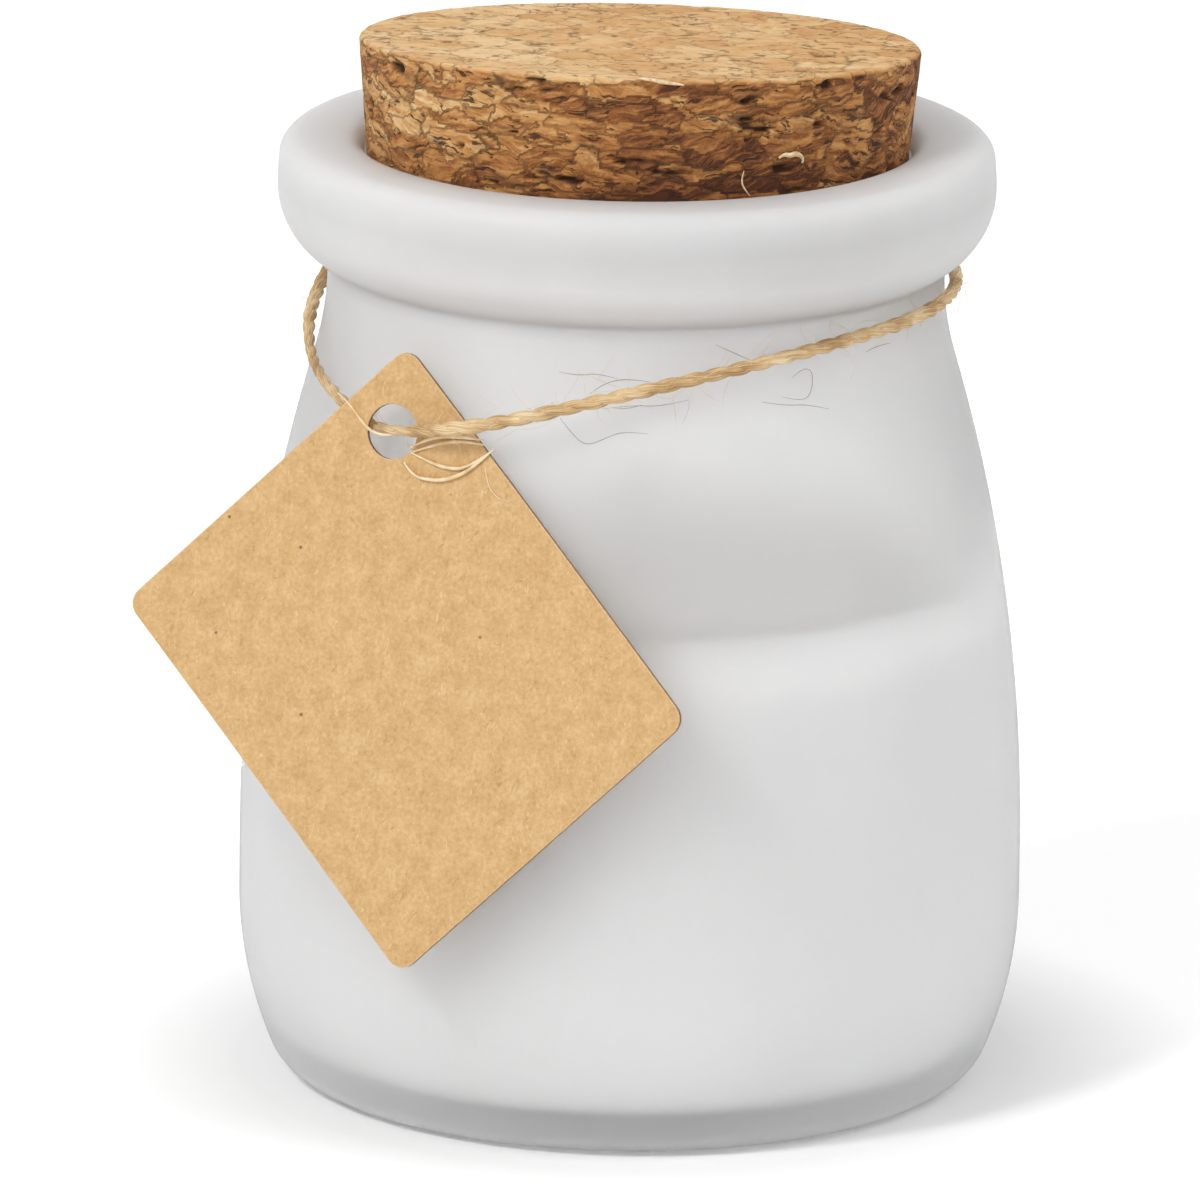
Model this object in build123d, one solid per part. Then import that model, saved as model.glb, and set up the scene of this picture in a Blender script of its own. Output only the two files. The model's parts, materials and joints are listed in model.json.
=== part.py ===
"""A small frosted glass candle jar with a cork stopper, a turn of twine and a blank card tag.

The frame has +Z up and its origin at the middle of the base, on the surface that the jar
stands on. The front of the jar faces -Y. Every length is in millimetres, every angle in degrees.
"""

from build123d import *
import math
import os

# Glass jar
BODY_RADIUS = 29.0
BODY_TOP = 17.2  # height at which the shoulder starts to draw in
JAR_HEIGHT = 70.5
GLASS_WALL = 2.55
FLOOR_THICKNESS = 3.0
FLOOR_CORNER = 4.0
HEEL_RADIUS = 29.5  # the long curve from the body down to the foot
HEEL_TOP = 13.3
FOOT_RADIUS = 3.2
FOOT_RING_WIDTH = 3.0
PUSH_UP = 0.9  # the hollow under the base
NECK_RADIUS = 22.7
NECK_DROP = 10.0  # from the top of the jar down to the narrowest place
NECK_BLEND = 22.5
NECK_FILLET = 0.8
RIM_RADIUS = 26.4
RIM_DROP = 3.6  # from the top of the jar down to the widest place of the rim
RIM_UNDERSIDE = 6.0
RIM_SIDE_CROWN = 22.0
RIM_CORNER = 1.5
LIP_RADIUS = 1.4

# Candle
FILL_HEIGHT = 38.8
MENISCUS_WIDTH = 1.6
MENISCUS_RISE = 0.35
STICKER_RADIUS = 9.0
STICKER_THICKNESS = 0.8
SUSTAINER_RADIUS = 10.0
SUSTAINER_THICKNESS = 0.4
SUSTAINER_TUBE_RADIUS = 1.45
SUSTAINER_TUBE_HEIGHT = 6.0
SUSTAINER_FLARE = 1.2
WICK_RADIUS = 0.85
WICK_ABOVE_WAX = 7.0
WICK_TIP_ROUNDING = 0.3

# Cork stopper
CORK_LENGTH = 14.8
CORK_PROUD = 7.0  # how far the middle of its top stands above the jar
CORK_CLEARANCE = 0.18  # to the mouth, all round at its seat
CORK_TAPER = 5.2
CORK_EDGE = 0.35
CORK_TILT_BACK = 4.7
CORK_TILT_SIDE = 1.0

# Card tag
TAG_WIDTH = 29.6
TAG_LENGTH = 34.7
TAG_THICKNESS = 0.45
TAG_CORNER = 1.3
TAG_HOLE_RADIUS = 2.0
TAG_HOLE_FROM_SIDE = 4.95
TAG_HOLE_FROM_END = 4.0
TAG_HOLE_DROP = 7.7  # from the narrowest place of the neck down to the hole
TAG_HOLE_OFFSET = 7.5  # to the left of where the card comes nearest to the jar
TAG_CLEARANCE = 0.35
TAG_FACING = 25.0  # how far its face is turned to the left
TAG_LEAN = 11.0  # how far its face looks upwards
TAG_TURN = 45.4  # how far it is turned in its own plane

# Twine
TWINE_DIAMETER = 1.1
RUN_SHARE = 0.45  # the share of a run that a bend may use up
KNOT_LENGTH = 3.0
KNOT_RADIUS = 1.35
KNOT_BACK = 24.3  # from the jar's middle back to the middle of the knot
KNOT_HEIGHT = 60.1

# The loop leaves the right side of the knot behind the neck, comes round to the front,
# goes down through the hole of the tag and comes back round the left side.
LOOP_ROUTE = [
    (KNOT_LENGTH / 2, KNOT_BACK, KNOT_HEIGHT),
    (6.5, KNOT_BACK, KNOT_HEIGHT),
    (13.6, 21.0, 60.1),
    (23.8, 7.6, 60.1),
    (23.3, -9.1, 60.0),
    (12.3, -21.8, 59.5),
    (-2.6, -25.2, 56.6),
    (-9.9, -24.9, 54.8),
    (-15.9, -22.3, 53.4),
    (-19.1, -17.5, 52.6),
    (-21.4, -13.9, 53.7),
    (-22.9, -10.0, 54.4),
    (-23.9, -4.9, 55.1),
    (-24.1, 1.6, 57.0),
    (-22.1, 11.6, 58.9),
    (-13.7, 21.0, 60.0),
    (-6.5, KNOT_BACK, KNOT_HEIGHT),
    (-KNOT_LENGTH / 2, KNOT_BACK, KNOT_HEIGHT),
]

# Two cut ends hang down from the knot.
LEFT_TAIL_ROUTE = [
    (-0.6, 24.3, 59.9),
    (-1.9, 25.0, 57.8),
    (-3.3, 25.8, 54.8),
    (-3.6, 26.3, 52.0),
]
RIGHT_TAIL_ROUTE = [
    (0.6, 24.3, 59.9),
    (1.7, 25.1, 57.6),
    (2.2, 25.9, 54.2),
    (4.0, 26.7, 51.0),
    (4.5, 27.3, 48.2),
]

neck_height = JAR_HEIGHT - NECK_DROP
rim_height = JAR_HEIGHT - RIM_DROP
bore_radius = NECK_RADIUS - GLASS_WALL


def arc(center, radius, start, end):
    """An arc about center, from the angle start to the angle end."""
    return CenterArc(center, radius, start, end - start)


def turned(edges):
    """The solid that an outline in the XZ plane leaves when it is turned about Z."""
    return revolve(Plane.XZ * make_face(Curve() + edges), Axis.Z)


def angle_to(start, end):
    """The direction from one point to another, in degrees."""
    return math.degrees(math.atan2(end[1] - start[1], end[0] - start[0]))


def shoulder():
    """The centre and radius of the shoulder's curve, and the angle at which the neck's takes over."""
    rise = neck_height - BODY_TOP
    drawn_in = BODY_RADIUS - NECK_RADIUS
    both_radii = (rise**2 + drawn_in**2) / (2 * drawn_in)
    radius = both_radii - NECK_BLEND
    return (BODY_RADIUS - radius, BODY_TOP), radius, math.degrees(math.asin(rise / both_radii))


def heel_end(inset, corner, corner_height):
    """Where the curve of a corner below the heel is centred, the heel being inset by a wall."""
    reach = HEEL_RADIUS - inset - corner
    across = math.sqrt(reach**2 - (HEEL_TOP - corner_height) ** 2)
    return (BODY_RADIUS - HEEL_RADIUS + across, corner_height)


def side_edges(inset, corner, corner_height, top):
    """The outline of the glass from the floor's corner up to the neck, or up to the height top."""
    heel = (BODY_RADIUS - HEEL_RADIUS, HEEL_TOP)
    foot = heel_end(inset, corner, corner_height)
    blend = angle_to(heel, foot)
    center, radius, junction = shoulder()
    inner = radius - inset
    side = BODY_RADIUS - inset
    last = junction if top is None else math.degrees(math.asin((top - BODY_TOP) / inner))
    edges = [
        arc(foot, corner, -90, blend),
        arc(heel, HEEL_RADIUS - inset, blend, 0),
        Line((side, HEEL_TOP), (side, BODY_TOP)),
        arc(center, inner, 0, last),
    ]
    if top is None:
        neck = (NECK_RADIUS + NECK_BLEND, neck_height)
        edges.append(arc(neck, NECK_BLEND + inset, 180 + junction, 180))
    return edges, foot


def rim_edges():
    """The outline of the rim, from the outside of the neck over the top and down to the mouth."""
    under = (RIM_RADIUS - RIM_UNDERSIDE, rim_height)
    reach = RIM_UNDERSIDE + NECK_FILLET
    across = NECK_RADIUS + NECK_FILLET - under[0]
    fillet = (NECK_RADIUS + NECK_FILLET, rim_height - math.sqrt(reach**2 - across**2))
    turn = angle_to(fillet, under)
    crown = (RIM_RADIUS - RIM_SIDE_CROWN, rim_height)
    corner_height = JAR_HEIGHT - RIM_CORNER
    corner_reach = RIM_SIDE_CROWN - RIM_CORNER
    corner_across = math.sqrt(corner_reach**2 - (corner_height - rim_height) ** 2)
    corner = (crown[0] + corner_across, corner_height)
    blend = angle_to(crown, corner)
    lip = (bore_radius + LIP_RADIUS, JAR_HEIGHT - LIP_RADIUS)
    return [
        Line((NECK_RADIUS, neck_height), (NECK_RADIUS, fillet[1])),
        arc(fillet, NECK_FILLET, 180, turn),
        arc(under, RIM_UNDERSIDE, turn - 180, 0),
        arc(crown, RIM_SIDE_CROWN, 0, blend),
        arc(corner, RIM_CORNER, blend, 90),
        Line((corner[0], JAR_HEIGHT), (lip[0], JAR_HEIGHT)),
        arc(lip, LIP_RADIUS, 90, 180),
        Line((bore_radius, lip[1]), (bore_radius, neck_height)),
    ]


def glass_jar():
    outside, foot = side_edges(0, FOOT_RADIUS, FOOT_RADIUS, None)
    inside, floor_corner = side_edges(GLASS_WALL, FLOOR_CORNER, FLOOR_THICKNESS + FLOOR_CORNER, None)
    ring = foot[0] - FOOT_RING_WIDTH
    hollow = (ring**2 + PUSH_UP**2) / (2 * PUSH_UP)
    edges = [
        arc((0, PUSH_UP - hollow), hollow, 90, 90 - math.degrees(math.asin(ring / hollow))),
        Line((ring, 0), (foot[0], 0)),
        *outside,
        *rim_edges(),
        *inside,
        Line((floor_corner[0], FLOOR_THICKNESS), (0, FLOOR_THICKNESS)),
        Line((0, FLOOR_THICKNESS), (0, PUSH_UP)),
    ]
    return turned(edges)


def wick_sticker():
    """The soft adhesive pad that holds the wick's foot to the glass floor."""
    return Pos(0, 0, FLOOR_THICKNESS) * extrude(Circle(STICKER_RADIUS), STICKER_THICKNESS)


def sustainer_base():
    return FLOOR_THICKNESS + STICKER_THICKNESS


def wick_sustainer():
    """The thin metal foot: a disc drawn up into a tube that is crimped round the wick."""
    disc_top = sustainer_base() + SUSTAINER_THICKNESS
    tube_top = sustainer_base() + SUSTAINER_TUBE_HEIGHT
    outline = Polyline(
        (WICK_RADIUS, sustainer_base()),
        (SUSTAINER_RADIUS, sustainer_base()),
        (SUSTAINER_RADIUS, disc_top),
        (SUSTAINER_TUBE_RADIUS + SUSTAINER_FLARE, disc_top),
        (SUSTAINER_TUBE_RADIUS, disc_top + SUSTAINER_FLARE),
        (SUSTAINER_TUBE_RADIUS, tube_top),
        (WICK_RADIUS, tube_top),
        close=True,
    )
    return turned(outline.edges())


def wick():
    """The cotton wick, from the sticker up through its foot and the wax into the space above."""
    length = FILL_HEIGHT + WICK_ABOVE_WAX - sustainer_base()
    stem = extrude(Circle(WICK_RADIUS), length)
    return Pos(0, 0, sustainer_base()) * fillet(stem.edges().sort_by(Axis.Z)[-1], WICK_TIP_ROUNDING)


def wax_fill():
    """The poured wax, which fills the jar wall to wall round the wick and its foot."""
    corner_height = FLOOR_THICKNESS + FLOOR_CORNER
    inside, floor_corner = side_edges(GLASS_WALL, FLOOR_CORNER, corner_height, FILL_HEIGHT)
    center, radius, _ = shoulder()
    across = math.sqrt((radius - GLASS_WALL) ** 2 - (FILL_HEIGHT - BODY_TOP) ** 2)
    wall = center[0] + across
    surface = FILL_HEIGHT - MENISCUS_RISE
    edges = [
        Line((0, FLOOR_THICKNESS), (floor_corner[0], FLOOR_THICKNESS)),
        *inside,
        Line((wall, FILL_HEIGHT), (wall - MENISCUS_WIDTH, surface)),
        Line((wall - MENISCUS_WIDTH, surface), (0, surface)),
        Line((0, surface), (0, FLOOR_THICKNESS)),
    ]
    return turned(edges) - wick_sticker() - wick_sustainer() - wick()


def cork_stopper():
    """The tapered stopper of pressed cork grains, seated a little askew in the mouth."""
    slope = math.tan(math.radians(CORK_TAPER))
    askew = math.radians(CORK_TILT_BACK)
    # A leaning cork is longer across the mouth from front to back, and most of that is behind.
    seat_radius = (bore_radius - CORK_CLEARANCE) * math.cos(askew)
    forward = seat_radius * slope * math.sin(askew)
    below_seat = CORK_LENGTH - CORK_PROUD - LIP_RADIUS
    above_seat = CORK_PROUD + LIP_RADIUS
    outline = Polyline(
        (0, -below_seat),
        (seat_radius - slope * below_seat, -below_seat),
        (seat_radius + slope * above_seat, above_seat),
        (0, above_seat),
        close=True,
    )
    body = turned(outline.edges())
    rims = body.edges().filter_by(GeomType.CIRCLE)
    body = chamfer(rims, CORK_EDGE)
    tilt = Rot(-CORK_TILT_BACK, CORK_TILT_SIDE, 0)
    return Pos(0, -forward, JAR_HEIGHT - LIP_RADIUS) * tilt * body


def tag_plane():
    """The plane of the tag's middle, with its origin at the hole and x towards its long side."""
    facing = math.radians(TAG_FACING)
    lean = math.radians(TAG_LEAN)
    outward = Vector(-math.sin(facing), -math.cos(facing), 0)
    across = Vector(math.cos(facing), -math.sin(facing), 0)
    normal = outward * math.cos(lean) + Vector(0, 0, 1) * math.sin(lean)
    upward = normal.cross(across)
    center, radius, _ = shoulder()
    nearest = center[0] * math.cos(lean) + center[1] * math.sin(lean) + radius
    distance = nearest + TAG_CLEARANCE + TAG_THICKNESS / 2
    foot = normal * distance - across * TAG_HOLE_OFFSET
    hole_height = neck_height - TAG_HOLE_DROP
    hole = foot + upward * ((hole_height - foot.Z) / upward.Z)
    turn = math.radians(TAG_TURN)
    along = across * math.cos(turn) + upward * math.sin(turn)
    return Plane(origin=hole, x_dir=along, z_dir=normal)


def kraft_tag():
    """The blank card, hung by a hole near its top corner so that it shows as a diamond."""
    card = RectangleRounded(TAG_WIDTH, TAG_LENGTH, TAG_CORNER)
    from_hole = Pos(TAG_HOLE_FROM_SIDE - TAG_WIDTH / 2, TAG_HOLE_FROM_END - TAG_LENGTH / 2)
    outline = from_hole * card - Circle(TAG_HOLE_RADIUS)
    return extrude(tag_plane() * outline, TAG_THICKNESS / 2, both=True)


def bend_radii(route):
    """The radius of each bend: as large as its two runs allow."""
    points = [Vector(*point) for point in route]
    radii = []
    for before, here, after in zip(points, points[1:], points[2:]):
        run_in = here - before
        run_out = after - here
        half_turn = math.radians(run_in.get_angle(run_out) / 2)
        radii.append(RUN_SHARE * min(run_in.length, run_out.length) / math.tan(half_turn))
    return radii


def cord(name, route):
    """A round tube along straight runs and tangent bends."""
    radii = bend_radii(route)
    path = FilletPolyline(*route, radius=radii)
    direction = Vector(*route[1]) - Vector(*route[0])
    section = Plane(origin=route[0], z_dir=direction) * Circle(TWINE_DIAMETER / 2)
    tube = sweep(section, path=path)
    expected = math.pi * (TWINE_DIAMETER / 2) ** 2 * path.length
    print(name, "length", round(path.length, 2), "bend radii", [round(r, 1) for r in radii])
    print(name, "volume", round(tube.volume, 2), "section times length", round(expected, 2))
    return tube


def twine_loop():
    return cord("twine_loop", LOOP_ROUTE)


def twine_knot():
    """The tied knot behind the neck, with the two cut ends below it."""
    half = KNOT_LENGTH / 2
    end_radius = TWINE_DIAMETER / 2
    bulge = ThreePointArc((-half, end_radius), (0, KNOT_RADIUS), (half, end_radius))
    edges = [
        bulge,
        Line((half, end_radius), (half, 0)),
        Line((half, 0), (-half, 0)),
        Line((-half, 0), (-half, end_radius)),
    ]
    body = Pos(0, KNOT_BACK, KNOT_HEIGHT) * revolve(Plane.XZ * make_face(Curve() + edges), Axis.X)
    return body + cord("left tail", LEFT_TAIL_ROUTE) + cord("right tail", RIGHT_TAIL_ROUTE)


NODES = {
    "glass_jar": glass_jar,
    "wax_fill": wax_fill,
    "wick": wick,
    "wick_sustainer": wick_sustainer,
    "wick_sticker": wick_sticker,
    "cork_stopper": cork_stopper,
    "kraft_tag": kraft_tag,
    "twine_loop": twine_loop,
    "twine_knot": twine_knot,
}

os.makedirs("parts", exist_ok=True)
for node, build in NODES.items():
    export_step(build(), f"parts/{node}.step")
hole = tag_plane()
print("tag hole", tuple(hole.origin), "facing", tuple(hole.z_dir))
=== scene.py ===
"""The looks of a small frosted glass candle jar with a cork stopper, jute twine and a kraft card tag.

Every length is in metres and every angle in degrees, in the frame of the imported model: +Z is up,
the origin is the middle of the base, and the front of the jar faces -Y.
"""

import itertools
import json
import math

import bpy
import numpy as np
from mathutils import Matrix, Vector


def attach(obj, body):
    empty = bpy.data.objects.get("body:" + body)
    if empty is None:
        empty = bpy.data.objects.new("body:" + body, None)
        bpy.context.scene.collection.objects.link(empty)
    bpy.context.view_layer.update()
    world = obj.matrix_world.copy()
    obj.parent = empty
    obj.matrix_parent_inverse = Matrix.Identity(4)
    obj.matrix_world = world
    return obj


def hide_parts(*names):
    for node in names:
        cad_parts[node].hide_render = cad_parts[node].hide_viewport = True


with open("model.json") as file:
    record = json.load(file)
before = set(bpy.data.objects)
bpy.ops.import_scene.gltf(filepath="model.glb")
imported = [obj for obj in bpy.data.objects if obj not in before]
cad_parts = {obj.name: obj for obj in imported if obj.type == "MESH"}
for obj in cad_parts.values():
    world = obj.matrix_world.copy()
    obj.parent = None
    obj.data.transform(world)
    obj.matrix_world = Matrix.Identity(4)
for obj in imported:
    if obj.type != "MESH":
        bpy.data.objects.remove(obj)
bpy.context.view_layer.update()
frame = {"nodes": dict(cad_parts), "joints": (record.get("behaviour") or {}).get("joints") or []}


def linear(*shades):
    """A colour as the shader takes it, from the shades of 0 to 255 that a picture shows."""
    parts = [shade / 255 for shade in shades]
    return tuple(p / 12.92 if p < 0.04045 else ((p + 0.055) / 1.055) ** 2.4 for p in parts)


MM = 0.001
MERGE = 0.002 * MM  # points of an outline nearer than this are one

# Camera
IMAGE_SIZE = 1200
SENSOR_WIDTH = 36.0
CAMERA_DISTANCE = 1000 * MM
CAMERA_HEIGHT = 300.9 * MM
CAMERA_PITCH = 14.882
CAMERA_ROLL = 0.605
CAMERA_PAN = 0.1373
FOCAL_PIXELS = 13976
SIGHT_SPAN = (0.9 * CAMERA_DISTANCE, 1.2 * CAMERA_DISTANCE)  # how far off the object can be
SIGHT_STEP = 0.05 * MM

# Twine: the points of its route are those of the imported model's twine.
TWINE_DIAMETER = 1.1 * MM
TWINE_ROUTE = [
    (1.5, 24.3, 60.1),
    (6.5, 24.3, 60.1),
    (13.6, 21.0, 60.1),
    (23.8, 7.6, 60.1),
    (23.3, -9.1, 60.0),
    (12.3, -21.8, 59.5),
    (-2.6, -25.2, 56.6),
    (-9.9, -24.9, 54.8),
    (-15.9, -22.3, 53.4),
    (-19.1, -17.5, 52.6),
    (-21.4, -13.9, 53.7),
    (-22.9, -10.0, 54.4),
    (-23.9, -4.9, 55.1),
    (-24.1, 1.6, 57.0),
    (-22.1, 11.6, 58.9),
    (-13.7, 21.0, 60.0),
    (-6.5, 24.3, 60.1),
    (-1.5, 24.3, 60.1),
]

# Glass jar, as packed
BODY_RADIUS = 29.0 * MM
BODY_TOP = 17.2 * MM
JAR_HEIGHT = 70.5 * MM
GLASS_WALL = 2.55 * MM
FLOOR_THICKNESS = 3.0 * MM
FLOOR_CORNER = 4.0 * MM
HEEL_RADIUS = 29.5 * MM
HEEL_TOP = 13.3 * MM
FOOT_RADIUS = 3.2 * MM
FOOT_RING_WIDTH = 3.0 * MM
PUSH_UP = 0.9 * MM
NECK_RADIUS = 22.7 * MM
NECK_DROP = 10.0 * MM
NECK_BLEND = 22.5 * MM
NECK_FILLET = 0.8 * MM
RIM_RADIUS = 26.4 * MM
RIM_DROP = 3.6 * MM
RIM_UNDERSIDE = 6.0 * MM
RIM_SIDE_CROWN = 22.0 * MM
RIM_CORNER = 1.5 * MM
LIP_RADIUS = 1.4 * MM
GLASS_WAVE = 0.03 * MM  # how uneven the blown glass is

# Candle, as packed
FILL_HEIGHT = 38.8 * MM
MENISCUS_WIDTH = 1.6 * MM
MENISCUS_RISE = 0.35 * MM
STICKER_RADIUS = 9.0 * MM
STICKER_THICKNESS = 0.8 * MM
SUSTAINER_RADIUS = 10.0 * MM
SUSTAINER_THICKNESS = 0.4 * MM
SUSTAINER_TUBE_RADIUS = 1.45 * MM
SUSTAINER_TUBE_HEIGHT = 6.0 * MM
SUSTAINER_FLARE = 1.2 * MM
WICK_RADIUS = 0.85 * MM
WICK_TOP = 45.8 * MM
WETTING = 0.03 * MM  # how far the wax reaches into the glass, so that no air lies between them

# Cork stopper, as packed
CORK_LENGTH = 14.8 * MM
CORK_PROUD = 7.0 * MM
CORK_CLEARANCE = 0.18 * MM
CORK_TAPER = 5.2
CORK_EDGE = 0.35 * MM
CORK_TILT_BACK = 4.7
CORK_TILT_SIDE = 1.0
CORK_BELOW = CORK_LENGTH - CORK_PROUD - LIP_RADIUS  # under the height where it seats
CORK_ABOVE = CORK_PROUD + LIP_RADIUS

# Card tag, as packed
TAG_WIDTH = 29.6 * MM
TAG_LENGTH = 34.7 * MM
TAG_THICKNESS = 0.45 * MM
TAG_CORNER = 1.3 * MM
TAG_HOLE_RADIUS = 2.0 * MM
TAG_HOLE_FROM_SIDE = 4.95 * MM
TAG_HOLE_FROM_END = 4.0 * MM
TAG_TURN = 45.4

# Frosting and small unevenness
GLASS_SEGMENTS = 256
LIP_STEPS = 8
# The glass's grey, with painted shade at the rim, and how much light the frost lets through, at shares of
# the jar's height.
GLASS_GREY_AND_PAINTED_SHADE = [
    (0.0, 253),
    (0.78, 252),
    (0.853, 250),
    # painted shade: a darker band in the groove where the rim meets the neck
    (0.872, 226),
    # painted light and shade: the rim's underside is painted pale and its side and top greyer, evening out
    # how the light falls on the rim
    (0.888, 246),
    (0.912, 246),
    (0.955, 225),
    (0.985, 225),
]
GLASS_MOTTLE_SHARE = 0.97  # of its grey, that the mottled frost keeps at least
MOTTLE_SIZE = 9 * MM
FROST_GRAIN = 0.25 * MM
FROST_RELIEF = 0.004 * MM
INNER_GLASS = (253, 254, 254)
GLASS_ROUGHNESS = (0.47, 0.53)
GLASS_IOR = 1.3
GLASS_CLEAR = [
    (0.0, 0.6),
    (0.07, 0.65),
    (0.13, 0.74),
    (0.47, 0.74),
    (0.53, 0.94),
    (0.58, 0.56),
    (0.75, 0.5),
    (0.85, 0.42),
    (0.93, 0.25),
    (0.98, 0.15),
]
FROST_DEPTH = 6.0 * MM
WAX_SEGMENTS = 160
# The wax's grey at millimetres of height: whitest just under its surface, a painted glow for the light that
# gets in there.
WAX_GREY_AND_PAINTED_GLOW = [(5, 244), (20, 238), (33, 236), (37, 254)]
WAX_CLOUD_SHARE = 0.98
WICK_CLIMB = 0.5 * MM
WICK_CLIMB_REACH = 0.5 * MM
POOL_DEPTH = 0.25 * MM
POOL_REACH = 8.0 * MM
SURFACE_WAVE = 0.04 * MM
WICK_PITCH = 3.2 * MM
WICK_STRANDS = 4
WICK_GRID = (260, 48)
WICK_RELIEF_SHARE = 0.16
WICK_LEAN = 0.5 * MM

# Pressed cork: the grains are flakes that lie flat, so every size is less upwards than across.
GRAIN_SIZE = (4.2 * MM, 4.2 * MM, 1.25 * MM)
CHIP_SIZE = (1.5 * MM, 1.5 * MM, 0.5 * MM)
GAP_SIZE = (2.6 * MM, 2.6 * MM, 0.8 * MM)
GAP_LEVEL = 0.72
GRAIN_DRIFT_SIZE = 2.4 * MM
GRAIN_DRIFT = (1.1 * MM, 1.1 * MM, 0.5 * MM)
GRAIN_SLANT = 0.9
GRAIN_TONE = 0.42
CHIP_TONE = 0.22
PATCH_SIZE = 6.0 * MM
PATCH_TONE = 0.13
# painted light: how much paler the cork is painted towards its left, the side of the key lamp
PAINTED_LEFT_LIGHT = 0.12
SIDE_TONE = -0.1
DARK_PLACE = (3.0 * MM, -1.0 * MM)  # across and up: the darkest flakes lie low on the front
DARK_SIZE = (13.0 * MM, 4.0 * MM)
DARK_TONE = 0.3
CREVICE_WIDTH_SHARE = 0.12
CREVICE_DEPTH = 0.16 * MM
GAP_DEPTH = 0.45 * MM
CREVICE_LOSS_SHARE = 0.55  # of the crevices and gaps, that the cut top lacks
GAP_LOSS_SHARE = 0.5
EDGE_CRUMBLE = 0.35 * MM
CRUMBLE_REACH = 1.2 * MM
CORK_RELIEF = 0.03 * MM
CORK_SINK = 0.02 * MM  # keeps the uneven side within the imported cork
CORK_BENDS = [(3.0 * MM, (2.6 * MM, 2.6 * MM, 1.5 * MM)), (0.7 * MM, (0.7 * MM, 0.7 * MM, 0.4 * MM))]
MURK_SIZE = (3.0 * MM, 3.0 * MM, 1.4 * MM)
CORK_GRID = 181
CORK_ROWS_BELOW = 24
CORK_ROWS_ABOVE = 42
CORK_BOTTOM_RINGS = 12
LAYER_SIZE = (2.6 * MM, 2.6 * MM, 0.3 * MM)
STROKE_SIZE = (1.9 * MM, 1.9 * MM, 0.42 * MM)
FLECK_SIZE = (1.3 * MM, 1.3 * MM, 0.9 * MM)
CORK_RAMP = [
    (0.0, (84, 46, 24)),
    (0.26, (146, 90, 46)),
    (0.52, (193, 136, 77)),
    (0.78, (215, 169, 112)),
    (1.0, (233, 198, 148)),
]
# the darkest cork: for dark strokes and flecks, and painted shade in the crevices and gaps
CORK_DEEP = (54, 30, 16)
CORK_GREY = (84, 60, 44)

# Pale slivers that stand out of the cork: radius, gap and pixels of the photograph
SLIVERS = [
    (0.16 * MM, 0.02 * MM, [(638, 78), (652, 80), (668, 83), (684, 85)]),
    (0.2 * MM, 0.08 * MM, [(779, 158), (784, 154), (790, 156), (796, 153), (804, 158), (802, 163)]),
    (0.07 * MM, 0.1 * MM, [(744, 171), (741, 180), (744, 189), (750, 196)]),
]

# Twine and its knot
TWINE_PITCH = 3.6 * MM
FIBRE_PITCH = 3.4 * MM
FIBRE_LENGTH = 2.2 * MM
FIBRES_ACROSS = 4.5
TWINE_STEP = 0.14 * MM
PLY_SIDES = 20
PLY_OFFSET_SHARE = 0.135
PLY_RADIUS_SHARE = 0.345
THIN_PLACES = [  # where the twine is drawn out: middle, reach and the share that it loses
    ((-23.0 * MM, -8.0 * MM, 54.6 * MM), 8.0 * MM, 0.24),
    ((-17.4 * MM, -19.6 * MM, 52.8 * MM), 3.0 * MM, 0.36),
]
HAIR_RADII = (0.010 * MM, 0.022 * MM)
FUZZ_COUNT = 420
FUZZ_LONGEST = 4.0 * MM
FUZZ_ROOT_SHARE = 0.42
FUZZ_GAP = 0.06 * MM
BARE_SIDE = -20.0 * MM  # left of this the twine's fibres lie close
BARE_SHARE = 0.25
FIBRE_RELIEF = 0.012 * MM
KNOT_LENGTH = 3.0 * MM
KNOT_BACK = 24.3 * MM
KNOT_HEIGHT = 60.1 * MM
KNOT_WRAP = 0.42 * MM
KNOT_SQUEEZE_SHARE = 0.9
KNOT_FUZZ = 30
FRAY_COUNT = 14
FRAY_LENGTHS = (0.6 * MM, 2.4 * MM)
LEFT_TAIL = [(-2.2, 24.9, 59.2), (-2.9, 25.4, 56.6), (-3.5, 25.8, 54.0), (-3.6, 26.3, 52.0)]
RIGHT_TAIL = [(2.1, 24.9, 59.1), (2.3, 25.5, 56.4), (2.7, 26.0, 53.2), (4.0, 26.7, 50.8), (4.5, 27.3, 48.2)]
JUTE_RAMP = [
    (0.1, (142, 106, 64)),
    (0.4, (196, 158, 106)),
    (0.65, (226, 196, 148)),
    (0.95, (250, 234, 200)),
]
PALE_FIBRE = [(226, 194, 144), (250, 234, 202)]
# painted shade: the strands on the glass are painted grey and dark, partly their own colour and partly
# their shade
DARK_FIBRE = [(152, 142, 128), (188, 180, 168)]

# Loose strands over the card: radius, gap to it, and pixels of the photograph
CARD_STRAYS = [
    (0.15 * MM, 0.3 * MM, [(411, 447), (431, 437), (455, 436), (483, 440)]),
    (0.15 * MM, 0.16 * MM, [(413, 452), (431, 446), (444, 442), (466, 441), (484, 445)]),
    (0.14 * MM, 0.16 * MM, [(410, 452), (429, 462), (446, 468), (462, 469), (480, 460), (494, 449)]),
    (0.15 * MM, 0.2 * MM, [(404, 462), (412, 476), (430, 480), (446, 480), (470, 471), (493, 450)]),
    (0.11 * MM, 0.12 * MM, [(338, 393), (350, 404), (363, 423), (373, 433), (393, 436), (408, 431)]),
    (0.05 * MM, 0.06 * MM, [(485, 466), (487, 482), (492, 492), (501, 501), (512, 502)]),
]

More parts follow.
